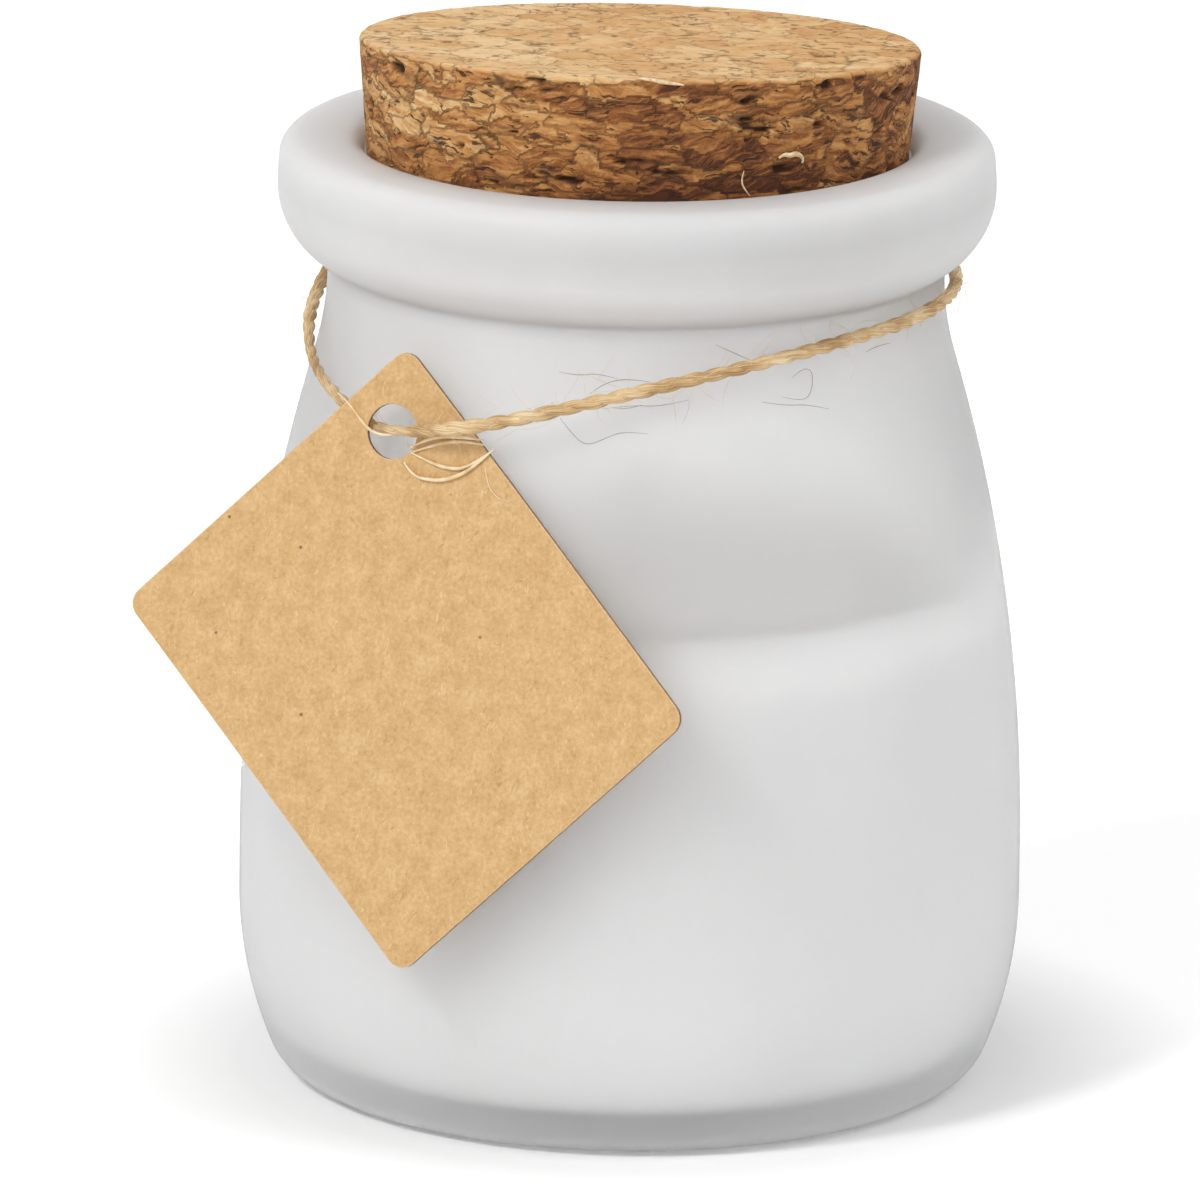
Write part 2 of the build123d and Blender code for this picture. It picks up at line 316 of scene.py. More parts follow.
# Fine strands on the glass: their radius and gap to it, and pixels of the photograph for each
GLASS_STRAY = (0.03 * MM, 0.05 * MM)
GLASS_STRAYS = [
    [(560, 418), (575, 438), (588, 446), (606, 438), (624, 431), (648, 434)],
    [(792, 378), (802, 368), (813, 370), (812, 392), (803, 402), (782, 397)],
    [(590, 394), (602, 384), (626, 378), (650, 382)],
    [(613, 408), (626, 410), (642, 405)],
    [(716, 345), (734, 353), (750, 360)],
    [(866, 352), (875, 346), (890, 343)],
    [(559, 372), (578, 376), (598, 373), (618, 379)],
    [(602, 409), (632, 405), (660, 407), (688, 400)],
    [(762, 402), (786, 406), (806, 404), (829, 409)],
]

# Studio
FLOOR_COLOUR = linear(246, 246, 246)
FLOOR_SIZE = 3.0
FLOOR_GAP = 0.02 * MM
# painted light: the floor's lift is a glow for the camera, full away from the jar, where it washes out the
# cast shadow, and fading out round the jar, where the floor shows greyer
FLOOR_LIFT = 0.3
FLOOR_LIFT_RADII = (29.0 * MM, 44.0 * MM)  # where the floor's lift starts and is full, round the jar
WORLD_LIGHT = 0.64
KEY_PLACE = (-0.58, -0.58, 0.84)
KEY_SIZE = 0.26
KEY_POWER = 5.2
FILL_PLACE = (0.72, -0.3, 0.85)
FILL_SIZE = 0.6
FILL_POWER = 2.0

# Card
CARD_COLUMNS = 320
CARD_ROWS = 26
CARD_EDGE = 0.09 * MM
CARD_BOW = 0.25 * MM
CARD_RUFFLE = 0.02 * MM
DARK_CARD_FIBRE = (1.6 * MM, 0.35 * MM, 1.6 * MM)
PALE_CARD_FIBRE = (0.4 * MM, 1.5 * MM, 1.3 * MM)
KRAFT_RAMP = [(0.2, (200, 159, 106)), (0.5, (212, 173, 120)), (0.8, (223, 187, 137))]
# painted highlight: the rounded border of the card's edge is painted paler than its face
BORDER_SHADES = [(206, 166, 116), (236, 204, 158)]
# painted shade: the cut core between the faces is painted dark, partly its own colour
CORE_SHADES = [(112, 80, 54), (160, 122, 86)]

neck_height = JAR_HEIGHT - NECK_DROP
rim_height = JAR_HEIGHT - RIM_DROP
bore_radius = NECK_RADIUS - GLASS_WALL


def placed(name, data):
    """A new object in the scene, with the given data."""
    thing = bpy.data.objects.new(name, data)
    bpy.context.scene.collection.objects.link(thing)
    return thing


def make_camera():
    """The photograph's view: a long lens from the front, looking down on the jar."""
    data = bpy.data.cameras.new("camera")
    data.sensor_width = SENSOR_WIDTH
    data.lens = FOCAL_PIXELS / IMAGE_SIZE * SENSOR_WIDTH
    camera = placed("camera", data)
    turn = Matrix.Rotation(math.radians(CAMERA_PAN), 4, "Z")
    down = Matrix.Rotation(math.radians(90 - CAMERA_PITCH), 4, "X")
    roll = Matrix.Rotation(math.radians(CAMERA_ROLL), 4, "Z")
    place = Matrix.Translation((0, -CAMERA_DISTANCE, CAMERA_HEIGHT))
    camera.matrix_world = place @ turn @ down @ roll
    bpy.context.scene.camera = camera


# Seeded noise on points. The large factors only scatter the bits of a cell's place.
AXIS_FACTORS = (73856093, 19349663, 83492791)
SEED_FACTOR = 40503
MIXING = [(13, 1274126177), (15, 668265263)]


def hashed(cells, seed):
    """A number from 0 to 1 for each row of whole numbers, the same on each run."""
    mixed = cells @ np.array(AXIS_FACTORS) + seed * SEED_FACTOR
    for shift, factor in MIXING:
        mixed = (mixed ^ (mixed >> shift)) * factor & 0xFFFFFFFF
    return (mixed ^ (mixed >> 14)) / 2**32


def smooth_noise(points, size, seed):
    """Smooth noise from -1 to 1 at each point, with features of about the given size."""
    scaled = points / size
    cells = np.floor(scaled).astype(np.int64)
    part = scaled - cells
    part = part * part * (3 - 2 * part)
    total = np.zeros(len(points))
    for corner in itertools.product((0, 1), repeat=3):
        weights = np.where(corner, part, 1 - part).prod(axis=1)
        total += weights * hashed(cells + np.array(corner), seed)
    return 2 * total - 1


def rough_noise(points, size, seed, octaves=4):
    """Noise of several sizes, each half as large and half as strong as the one before."""
    return sum(smooth_noise(points, size / 2**k, seed + k) / 2**k for k in range(octaves))


def cells_at(points, size, seed):
    """For each point the number of the nearest scattered cell, and how far its border is."""
    scaled = points / size
    home = np.floor(scaled).astype(np.int64)
    first = np.full(len(points), np.inf)
    second = np.full(len(points), np.inf)
    value = np.zeros(len(points))
    for step in itertools.product((-1, 0, 1), repeat=3):
        cell = home + np.array(step)
        jitter = np.stack([hashed(cell, seed + k) for k in range(3)], axis=1)
        far = np.linalg.norm(cell + jitter - scaled, axis=1)
        nearer = far < first
        second = np.where(nearer, first, np.minimum(second, far))
        value = np.where(nearer, hashed(cell, seed + 3), value)
        first = np.where(nearer, far, first)
    return value, second - first


# Meshes


def mesh_piece(name, vertices, faces, materials, body, slot, indices=None, sharp=None):
    """A mesh object that rides on a body and takes the materials given; its slot is not used."""
    mesh = bpy.data.meshes.new(name)
    mesh.from_pydata([tuple(v) for v in np.asarray(vertices).tolist()], [], faces)
    for item in materials:
        mesh.materials.append(item)
    if indices is not None:
        mesh.polygons.foreach_set("material_index", indices)
    mesh.polygons.foreach_set("use_smooth", [True] * len(mesh.polygons))
    mesh.update()
    if sharp is not None:
        mesh.set_sharp_from_angle(angle=math.radians(sharp))
    piece = placed(name, mesh)
    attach(piece, body)
    return piece


def grid_faces(rows, columns, close_rows=False, close_columns=True, start=0):
    """Quads of a grid of vertices, row by row; a closed direction joins its last line to its first."""
    faces = []
    for row in range(rows if close_rows else rows - 1):
        for column in range(columns if close_columns else columns - 1):
            here = start + row * columns
            above = start + (row + 1) % rows * columns
            beside = (column + 1) % columns
            faces.append((here + column, here + beside, above + beside, above + column))
    return faces


def capped_tube(rings):
    """Vertices and faces of a closed tube through rings of points, an array of rings by points."""
    count, sides, _ = rings.shape
    faces = grid_faces(count, sides)
    faces.append(tuple(range(sides))[::-1])
    faces.append(tuple(range((count - 1) * sides, count * sides)))
    return rings.reshape(-1, 3), faces


def merged(parts):
    """Several (vertices, faces) pairs as one."""
    vertices, faces, start = [], [], 0
    for points, corners in parts:
        vertices.append(points)
        faces += [tuple(start + k for k in face) for face in corners]
        start += len(points)
    return np.concatenate(vertices), faces


def hold(piece, name, values):
    """Keeps a number or a vector for each vertex on the mesh, under a name that its material reads."""
    kind, field = ("FLOAT_VECTOR", "vector") if values.ndim == 2 else ("FLOAT", "value")
    layer = piece.data.attributes.new(name, kind, "POINT")
    layer.data.foreach_set(field, values.ravel())


def around(count):
    """Angles evenly spaced round a circle."""
    return np.linspace(0, 2 * np.pi, count, endpoint=False)


def units(vectors):
    """Rows of the same directions, each of length 1."""
    return vectors / np.linalg.norm(vectors, axis=1)[:, None]


def lathe(outline, segments, closed=False):
    """An outline of (radius, height) points turned about Z, with the outline's edge of each face."""
    angles = around(segments)
    vertices, rings = [], []
    for radius, height in outline:
        rings.append(len(vertices))
        if radius > 0:
            vertices += [(radius * np.cos(a), radius * np.sin(a), height) for a in angles]
        else:
            vertices.append((0.0, 0.0, height))
    faces, edges = [], []
    count = len(outline)
    for edge in range(count if closed else count - 1):
        low, high = rings[edge], rings[(edge + 1) % count]
        low_ring = outline[edge][0] > 0
        high_ring = outline[(edge + 1) % count][0] > 0
        for k in range(segments):
            beside = (k + 1) % segments
            face = [low + k, low + beside] if low_ring else [low]
            face += [high + beside, high + k] if high_ring else [high]
            faces.append(face)
            edges.append(edge)
    return np.array(vertices), faces, np.array(edges)


def arc(center, radius, start, end, steps=12):
    """Points of an arc about center, from the angle start to the angle end."""
    angles = np.radians(np.linspace(start, end, steps + 1))
    return [(center[0] + radius * np.cos(a), center[1] + radius * np.sin(a)) for a in angles]


def joined(*stretches):
    """The points of several stretches in a row, without the doubled points where they meet."""
    points = []
    for stretch in stretches:
        for point in stretch:
            if not points or math.dist(point, points[-1]) > MERGE:
                points.append(point)
    return points


def straight(start, end, steps):
    """Points of a straight stretch."""
    return [tuple(p) for p in np.linspace(start, end, steps + 1)]


# Materials


class Nodes:
    """A node tree, with a short call for each kind of node that the scene uses."""

    def __init__(self, tree):
        self.nodes = tree.nodes
        self.links = tree.links

    def put(self, socket, value):
        """Sets a socket to a plain value, or links it to another socket."""
        if isinstance(value, bpy.types.NodeSocket):
            self.links.new(value, socket)
        elif hasattr(value, "__len__") and len(value) == 3 and socket.type == "RGBA":
            socket.default_value = (*value, 1)
        else:
            socket.default_value = value

    def node(self, kind, inputs, **settings):
        """A new node, with its inputs and settings by name or number."""
        node = self.nodes.new("ShaderNode" + kind)
        for name, value in settings.items():
            setattr(node, name, value)
        for name, value in inputs.items():
            self.put(node.inputs[name], value)
        return node

    def maths(self, operation, *inputs):
        return self.node("Math", dict(enumerate(inputs)), operation=operation).outputs[0]

    def vector_maths(self, operation, *inputs, output="Vector"):
        return self.node("VectorMath", dict(enumerate(inputs)), operation=operation).outputs[output]

    def span(self, value, low, high, start=0.0, end=1.0):
        """The value, clamped, as it goes from low to high, spread from start to end."""
        inputs = {"Value": value, "From Min": low, "From Max": high, "To Min": start, "To Max": end}
        return self.node("MapRange", inputs).outputs["Result"]

    def spread(self, noise, start, end, reach=0.2):
        """A noise, whose values lie round 0.5 and mostly within the reach, spread from start to end."""
        return self.span(noise, 0.5 - reach, 0.5 + reach, start, end)

    def behind(self, camera_share=1.0):
        """How much a ray shows what is behind: all off gloss or through glass, a share from the camera."""
        path = self.node("LightPath", {}).outputs
        seen = self.maths("MULTIPLY", path["Is Camera Ray"], camera_share)
        seen = self.maths("MAXIMUM", seen, path["Is Glossy Ray"])
        return self.maths("MAXIMUM", seen, path["Is Transmission Ray"])


class Look(Nodes):
    """A material and its nodes."""

    def __init__(self, name):
        self.material = bpy.data.materials.new(name)
        self.material.use_nodes = True
        super().__init__(self.material.node_tree)
        self.shader = self.nodes["Principled BSDF"]
        self.place = self.nodes.new("ShaderNodeTexCoord").outputs["Object"]

    def finish(self, **inputs):
        """Sets the Principled shader's sockets, named with underscores for spaces."""
        for name, value in inputs.items():
            self.put(self.shader.inputs[name.replace("_", " ")], value)
        return self.material

    def noise(self, size, detail=3, roughness=0.5, distortion=0.0, place=None):
        """Noise with features of a size, or of three sizes for patterns that are longer one way."""
        place = self.place if place is None else place
        if isinstance(size, tuple):
            place = self.vector_maths("MULTIPLY", place, tuple(1 / part for part in size))
            size = 1.0
        inputs = {
            "Vector": place,
            "Scale": 1 / size,
            "Detail": detail,
            "Roughness": roughness,
            "Distortion": distortion,
        }
        return self.node("TexNoise", inputs).outputs["Fac"]

    def moved(self, place, size, amounts):
        """A place shifted smoothly this way and that, by at most half the amounts."""
        inputs = {"Vector": place, "Scale": 1 / size, "Detail": 2}
        shifts = self.node("TexNoise", inputs).outputs["Color"]
        shifts = self.vector_maths("SUBTRACT", shifts, (0.5, 0.5, 0.5))
        return self.vector_maths("MULTIPLY_ADD", shifts, amounts, place)

    def scattered(self, size):
        """How far each place is from the nearest of scattered points, in shares of the size."""
        return self.node("TexVoronoi", {"Vector": self.place, "Scale": 1 / size}).outputs["Distance"]

    def height_share(self, whole):
        """How high each place is, in shares of the whole height."""
        height = self.node("SeparateXYZ", {0: self.place}).outputs["Z"]
        return self.maths("DIVIDE", height, whole)

    def steps(self, factor, stops):
        """What runs evenly through (place, linear colour) stops as the factor goes from 0 to 1."""
        node = self.node("ValToRGB", {"Fac": factor})
        elements = node.color_ramp.elements
        for end in (0, -1):
            elements[end].position = stops[end][0]
            elements[end].color = (*stops[end][1], 1)
        for place, colour in stops[1:-1]:
            elements.new(place).color = (*colour, 1)
        return node.outputs["Color"]

    def ramp(self, factor, stops):
        """A colour that runs through (place, shades) stops, the shades being those of a picture."""
        return self.steps(factor, [(place, linear(*shades)) for place, shades in stops])

    def greys(self, factor, stops):
        """A grey that runs through (place, shade) stops."""
        return self.ramp(factor, [(place, (shade,) * 3) for place, shade in stops])

    def levels(self, factor, stops):
        """A value that runs through (place, value) stops."""
        return self.steps(factor, [(place, (value,) * 3) for place, value in stops])

    def mixed(self, factor, first, second, blend="MIX"):
        node = self.node("Mix", {0: factor}, data_type="RGBA", blend_type=blend)
        self.put(node.inputs[6], first)
        self.put(node.inputs[7], second)
        return node.outputs[2]

    def attribute(self, name, output="Fac"):
        """What the mesh holds under a name: a number, or a vector for the output Vector."""
        return self.node("Attribute", {}, attribute_name=name).outputs[output]

    def bump(self, height, depth):
        """A bumped normal, for a height of 0 to 1 that stands for the given depth."""
        inputs = {"Height": height, "Strength": 1.0, "Distance": depth}
        return self.node("Bump", inputs).outputs["Normal"]


def mottled(name, size, stops, detail=3, uneven=0.5, relief=0.0, **inputs):
    """A material whose colour wanders through stops; with a relief it stands up where it is palest."""
    look = Look(name)
    shade = look.noise(size, detail, uneven)
    if relief:
        inputs["Normal"] = look.bump(shade, relief)
    return look.finish(Base_Color=look.ramp(shade, stops), **inputs)


# Glass jar


def shoulder():
    """The centre and radius of the shoulder's curve, and the angle at which the neck's takes over."""
    rise = neck_height - BODY_TOP
    drawn_in = BODY_RADIUS - NECK_RADIUS
    both_radii = (rise**2 + drawn_in**2) / (2 * drawn_in)
    radius = both_radii - NECK_BLEND
    return (BODY_RADIUS - radius, BODY_TOP), radius, math.degrees(math.asin(rise / both_radii))


def third_side(longest, other):
    """The third side of a triangle with a right angle, from its longest side and another."""
    return math.sqrt(longest**2 - other**2)


def heel_end(inset, corner, corner_height):
    """Where the curve of a corner below the heel is centred, the heel being inset by a wall."""
    reach = HEEL_RADIUS - inset - corner
    across = third_side(reach, HEEL_TOP - corner_height)
    return (BODY_RADIUS - HEEL_RADIUS + across, corner_height)


def angle_to(start, end):
    """The direction from one point to another, in degrees."""
    return math.degrees(math.atan2(end[1] - start[1], end[0] - start[0]))


def side_points(inset, corner, corner_height, top=None):
    """The glass from the floor's corner up to the neck, or up to the height top."""
    heel = (BODY_RADIUS - HEEL_RADIUS, HEEL_TOP)
    foot = heel_end(inset, corner, corner_height)
    blend = angle_to(heel, foot)
    center, radius, junction = shoulder()
    side = BODY_RADIUS - inset
    last = junction
    if top is not None:
        last = math.degrees(math.asin((top - BODY_TOP) / (radius - inset)))
    points = joined(
        arc(foot, corner, -90, blend),
        arc(heel, HEEL_RADIUS - inset, blend, 0),
        straight((side, HEEL_TOP), (side, BODY_TOP), 4),
        arc(center, radius - inset, 0, last, 24),
    )
    if top is None:
        neck = (NECK_RADIUS + NECK_BLEND, neck_height)
        points = joined(points, arc(neck, NECK_BLEND + inset, 180 + junction, 180))
    return points, foot


def rim_points():
    """The rim, from the outside of the neck over the top and down to the mouth."""
    under = (RIM_RADIUS - RIM_UNDERSIDE, rim_height)
    reach = RIM_UNDERSIDE + NECK_FILLET
    across = NECK_RADIUS + NECK_FILLET - under[0]
    fillet = (NECK_RADIUS + NECK_FILLET, rim_height - third_side(reach, across))
    turn = angle_to(fillet, under)
    crown = (RIM_RADIUS - RIM_SIDE_CROWN, rim_height)
    corner_height = JAR_HEIGHT - RIM_CORNER
    corner_across = third_side(RIM_SIDE_CROWN - RIM_CORNER, corner_height - rim_height)
    corner = (crown[0] + corner_across, corner_height)
    blend = angle_to(crown, corner)
    lip = (bore_radius + LIP_RADIUS, JAR_HEIGHT - LIP_RADIUS)
    return joined(
        straight((NECK_RADIUS, neck_height), (NECK_RADIUS, fillet[1]), 3),
        arc(fillet, NECK_FILLET, 180, turn, 8),
        arc(under, RIM_UNDERSIDE, turn - 180, 0, 14),
        arc(crown, RIM_SIDE_CROWN, 0, blend, 5),
        arc(corner, RIM_CORNER, blend, 90, 8),
        arc(lip, LIP_RADIUS, 90, 180, LIP_STEPS),
    )


# The outside of the glass up to the lip, for what lies on it
outer_side = joined(side_points(0, FOOT_RADIUS, FOOT_RADIUS)[0], rim_points()[:-LIP_STEPS])
glass_radii, glass_heights = np.array(outer_side).T


def glass_radius(height):
    """How far the outside of the glass is from the axis at a height."""
    return np.interp(height, glass_heights, glass_radii)


def frosted_glass():
    """The etched outside: part of the light passes and blurs, and part spreads in the frost."""
    look = Look("frosted_glass")
    mottle = look.noise(MOTTLE_SIZE, detail=4, roughness=0.6)
    share = look.height_share(JAR_HEIGHT)
    dim = look.spread(mottle, GLASS_MOTTLE_SHARE, 1.0, 0.15)
    return look.finish(
        # the grey by height holds painted shade in the groove under the rim and over the rim's side and top
        Base_Color=look.mixed(1.0, look.greys(share, GLASS_GREY_AND_PAINTED_SHADE), dim, "MULTIPLY"),
        Roughness=look.spread(mottle, *GLASS_ROUGHNESS),
        IOR=GLASS_IOR,
        Transmission_Weight=look.levels(share, GLASS_CLEAR),
        Subsurface_Weight=1.0,
        Subsurface_Radius=(1.0, 1.0, 1.0),
        Subsurface_Scale=FROST_DEPTH,
        Normal=look.bump(look.noise(FROST_GRAIN, detail=2), FROST_RELIEF),
    )


def inner_glass():
    """The inside of the jar, which the mould left smooth."""
    return Look("inner_glass").finish(
        Base_Color=linear(*INNER_GLASS), Roughness=0.12, IOR=GLASS_IOR, Transmission_Weight=1.0
    )


def glass_jar():
    """The jar: one outline from its push-up round the foot, side and rim to its floor."""
    outside, foot = side_points(0, FOOT_RADIUS, FOOT_RADIUS)
    inside, floor_corner = side_points(GLASS_WALL, FLOOR_CORNER, FLOOR_THICKNESS + FLOOR_CORNER)
    ring = foot[0] - FOOT_RING_WIDTH
    hollow = (ring**2 + PUSH_UP**2) / (2 * PUSH_UP)
    reach = math.degrees(math.asin(ring / hollow))
    under = arc((0, PUSH_UP - hollow), hollow, 90, 90 - reach, 10)
    under[0] = (0.0, PUSH_UP)
    rim = rim_points()
    outer = joined(under, [(ring, 0.0)], outside, rim)
    neck = (bore_radius, neck_height)
    floor = straight((floor_corner[0], FLOOR_THICKNESS), (0.0, FLOOR_THICKNESS), 8)
    outline = joined(outer, straight(rim[-1], neck, 4), inside[::-1], floor)
    vertices, faces, edges = lathe(outline, GLASS_SEGMENTS)
    across = np.hypot(vertices[:, 0], vertices[:, 1])
    above_foot = np.clip((vertices[:, 2] - FOOT_RADIUS) / FOOT_RADIUS, 0, 1)
    swell = GLASS_WAVE * smooth_noise(vertices, 11 * MM, 5) * above_foot
    vertices[:, :2] *= (1 + swell / np.maximum(across, MM))[:, None]
    indices = np.where(edges < len(outer) - 1, 0, 1)
    materials = [frosted_glass(), inner_glass()]
    jar = mesh_piece("jar_glass", vertices, faces, materials, "jar", "frosted_glass", indices)
    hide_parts("glass_jar")


# Candle


def candle_wax():
    """Pale wax with a soft depth, faintly clouded."""
    look = Look("candle_wax")
    # painted light: the wax is painted whitest just under its surface, for the glow of the light that gets
    # in through its top
    stops = [(place * MM / FILL_HEIGHT, shade) for place, shade in WAX_GREY_AND_PAINTED_GLOW]
    grey = look.greys(look.height_share(FILL_HEIGHT), stops)
    dim = look.spread(look.noise(7 * MM), WAX_CLOUD_SHARE, 1.0, 0.15)
    return look.finish(
        Base_Color=look.mixed(1.0, grey, dim, "MULTIPLY"),
        Roughness=look.spread(look.noise(1.5 * MM), 0.38, 0.5),
        Subsurface_Weight=1.0,
        Subsurface_Radius=(1.0, 0.98, 0.95),
        Subsurface_Scale=4.0 * MM,
        IOR=1.44,
        Normal=look.bump(look.noise(0.8 * MM, detail=4), 0.012 * MM),
    )


def wax_fill():
    """The poured wax, with a slight pool round the wick; it wets the glass all round."""
    corner_height = FLOOR_THICKNESS + FLOOR_CORNER
    inside, floor_corner = side_points(GLASS_WALL - WETTING, FLOOR_CORNER, corner_height, FILL_HEIGHT)
    inside = [(r, z - WETTING * (z < corner_height)) for r, z in inside]
    wall = inside[-1][0]
    surface = FILL_HEIGHT - MENISCUS_RISE
    meniscus = [
        (wall - MENISCUS_WIDTH * share, surface + MENISCUS_RISE * (1 - share) ** 2.2)
        for share in np.linspace(0, 1, 9)[1:]
    ]
    top = []
    for share in np.linspace(0, 1, 41)[1:]:
        radius = meniscus[-1][0] + (WICK_RADIUS - meniscus[-1][0]) * share
        climb = WICK_CLIMB * math.exp(-(radius - WICK_RADIUS) / WICK_CLIMB_REACH)
        pool = -POOL_DEPTH * math.exp(-((radius / POOL_REACH) ** 2))
        top.append((radius, surface + climb + pool))
    base = FLOOR_THICKNESS + STICKER_THICKNESS
    disc_top = base + SUSTAINER_THICKNESS
    core = [
        (WICK_RADIUS, base + SUSTAINER_TUBE_HEIGHT),
        (SUSTAINER_TUBE_RADIUS, base + SUSTAINER_TUBE_HEIGHT),
        (SUSTAINER_TUBE_RADIUS, disc_top + SUSTAINER_FLARE),
        (SUSTAINER_TUBE_RADIUS + SUSTAINER_FLARE, disc_top),
        (SUSTAINER_RADIUS, disc_top),
        (SUSTAINER_RADIUS, base),
        (STICKER_RADIUS, base),
        (STICKER_RADIUS, FLOOR_THICKNESS - WETTING),
    ]
    outline = joined(inside, meniscus, top, core)
    vertices, faces, _ = lathe(outline, WAX_SEGMENTS, closed=True)
    free = vertices[:, 2] > surface - MENISCUS_RISE
    vertices[free, 2] += SURFACE_WAVE * rough_noise(vertices[free], 6 * MM, 31, 3)
    wax = mesh_piece("poured_wax", vertices, faces, [candle_wax()], "jar", "candle_wax", sharp=50)
    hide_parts("wax_fill")


def cotton():
    """The wick's cotton, stiff with wax."""
    look = Look("waxed_cotton")
    shade = look.noise(0.3 * MM, detail=4, roughness=0.7)
    colour = look.ramp(shade, [(0.3, (196, 188, 172)), (0.7, (240, 236, 224))])
    fine = look.noise(0.12 * MM)
    return look.finish(Base_Color=colour, Roughness=0.6, Normal=look.bump(fine, 0.02 * MM))


def wick():
    """A flat-braided cotton wick: two opposed sets of strands that pass over and under."""
    rows, columns = WICK_GRID
    base = FLOOR_THICKNESS + STICKER_THICKNESS
    height, angle = np.meshgrid(np.linspace(base, WICK_TOP, rows), around(columns), indexing="ij")
    climb = 2 * np.pi * height / WICK_PITCH
    one_way = np.cos(WICK_STRANDS * angle + climb)
    other_way = np.cos(WICK_STRANDS * angle - climb)
    radius = WICK_RADIUS * (1 - WICK_RELIEF_SHARE + WICK_RELIEF_SHARE * np.maximum(one_way, other_way))
    tip = np.clip((WICK_TOP - height) / WICK_RADIUS, 0, 1)
    radius *= np.sqrt(1 - (1 - tip) ** 2 * 0.9)
    above = np.clip((height - FILL_HEIGHT) / (WICK_TOP - FILL_HEIGHT), 0, 1)
    x = radius * np.cos(angle) + WICK_LEAN * above**2
    y = radius * np.sin(angle)
    vertices, faces = capped_tube(np.stack([x, y, height], axis=-1))
    braid = mesh_piece("braided_wick", vertices, faces, [cotton()], "jar", "cotton_wick")
    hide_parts("wick")


def plain_metal():
    """Thin tinned steel with fine drawn streaks."""
    look = Look("tinned_steel")
    streak = look.noise((2 * MM, 0.2 * MM, 0.2 * MM))
    gloss = look.spread(streak, 0.28, 0.42)
    return look.finish(Base_Color=linear(190, 190, 192), Metallic=1.0, Roughness=gloss)


def soft_pad():
    """Adhesive foam with fine pores."""
    look = Look("adhesive_foam")
    pores = look.scattered(0.35 * MM)
    # painted shade: the foam is painted darker in its pores, where the bump sinks
    colour = look.mixed(look.span(pores, 0.1, 0.5), linear(205, 203, 196), linear(228, 227, 222))
    return look.finish(Base_Color=colour, Roughness=0.85, Normal=look.bump(pores, 0.05 * MM))


def dress_node(node, material):
    """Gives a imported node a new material."""
    slots = frame["nodes"][node].data.materials
    slots.clear()
    slots.append(material)


# Cork stopper


def cork_pattern(points):
    """What the mesh holds of the grains: tone, with painted light towards the left, slant of their layers,
    crevices and open gaps.
    """
    drift = np.stack([rough_noise(points, GRAIN_DRIFT_SIZE, seed) for seed in (41, 51, 61)], axis=1)
    moved = points + drift * np.array(GRAIN_DRIFT)
    grain, border = cells_at(moved / np.array(GRAIN_SIZE), 1.0, 71)
    chip, chip_border = cells_at(moved / np.array(CHIP_SIZE), 1.0, 81)
    open_border = np.clip(1.5 * smooth_noise(points, 1.8 * MM, 97), 0, 1)
    crevice = np.clip(1 - border / CREVICE_WIDTH_SHARE, 0, 1) * open_border
    thin = np.clip(1 - chip_border / CREVICE_WIDTH_SHARE, 0, 1) * open_border * 0.5
    gap = np.clip((rough_noise(points / np.array(GAP_SIZE), 1.0, 99, 3) - GAP_LEVEL) * 5, 0, 1)
    patch = smooth_noise(points, PATCH_SIZE, 95)
    tone = GRAIN_TONE * (grain - 0.5) + CHIP_TONE * (chip - 0.5) + PATCH_TONE * patch
    # painted light: paler towards the left, where the key lamp stands
    tone -= PAINTED_LEFT_LIGHT * points[:, 0] / bore_radius
    off = (points[:, ::2] - np.array(DARK_PLACE)) / np.array(DARK_SIZE)
    tone += SIDE_TONE - DARK_TONE * np.exp(-(off**2).sum(axis=1)) * (points[:, 1] < 0)
    slant = np.stack([grain - 0.5, grain * 7.3 % 1 - 0.5, np.zeros(len(grain))], axis=1) * GRAIN_SLANT
    return tone, slant, np.maximum(crevice, thin), gap


def disc_grid(count):
    """A square grid of points bent into a unit disc, and its border in order round the disc."""
    shares = np.linspace(-1, 1, count)
    down, across = np.meshgrid(shares, shares, indexing="ij")
    wide = np.abs(across) > np.abs(down)
    radius = np.where(wide, across, down)
    safe = np.where(radius == 0, 1, radius)
    angle = np.where(wide, down / safe, 2 - across / safe) * np.pi / 4
    points = np.stack([radius * np.cos(angle), radius * np.sin(angle)], axis=-1).reshape(-1, 2)
    index = np.arange(count * count).reshape(count, count)
    border = [*index[:-1, -1], *index[-1, :0:-1], *index[:0:-1, 0], *index[0, :-1]]
    return points, border


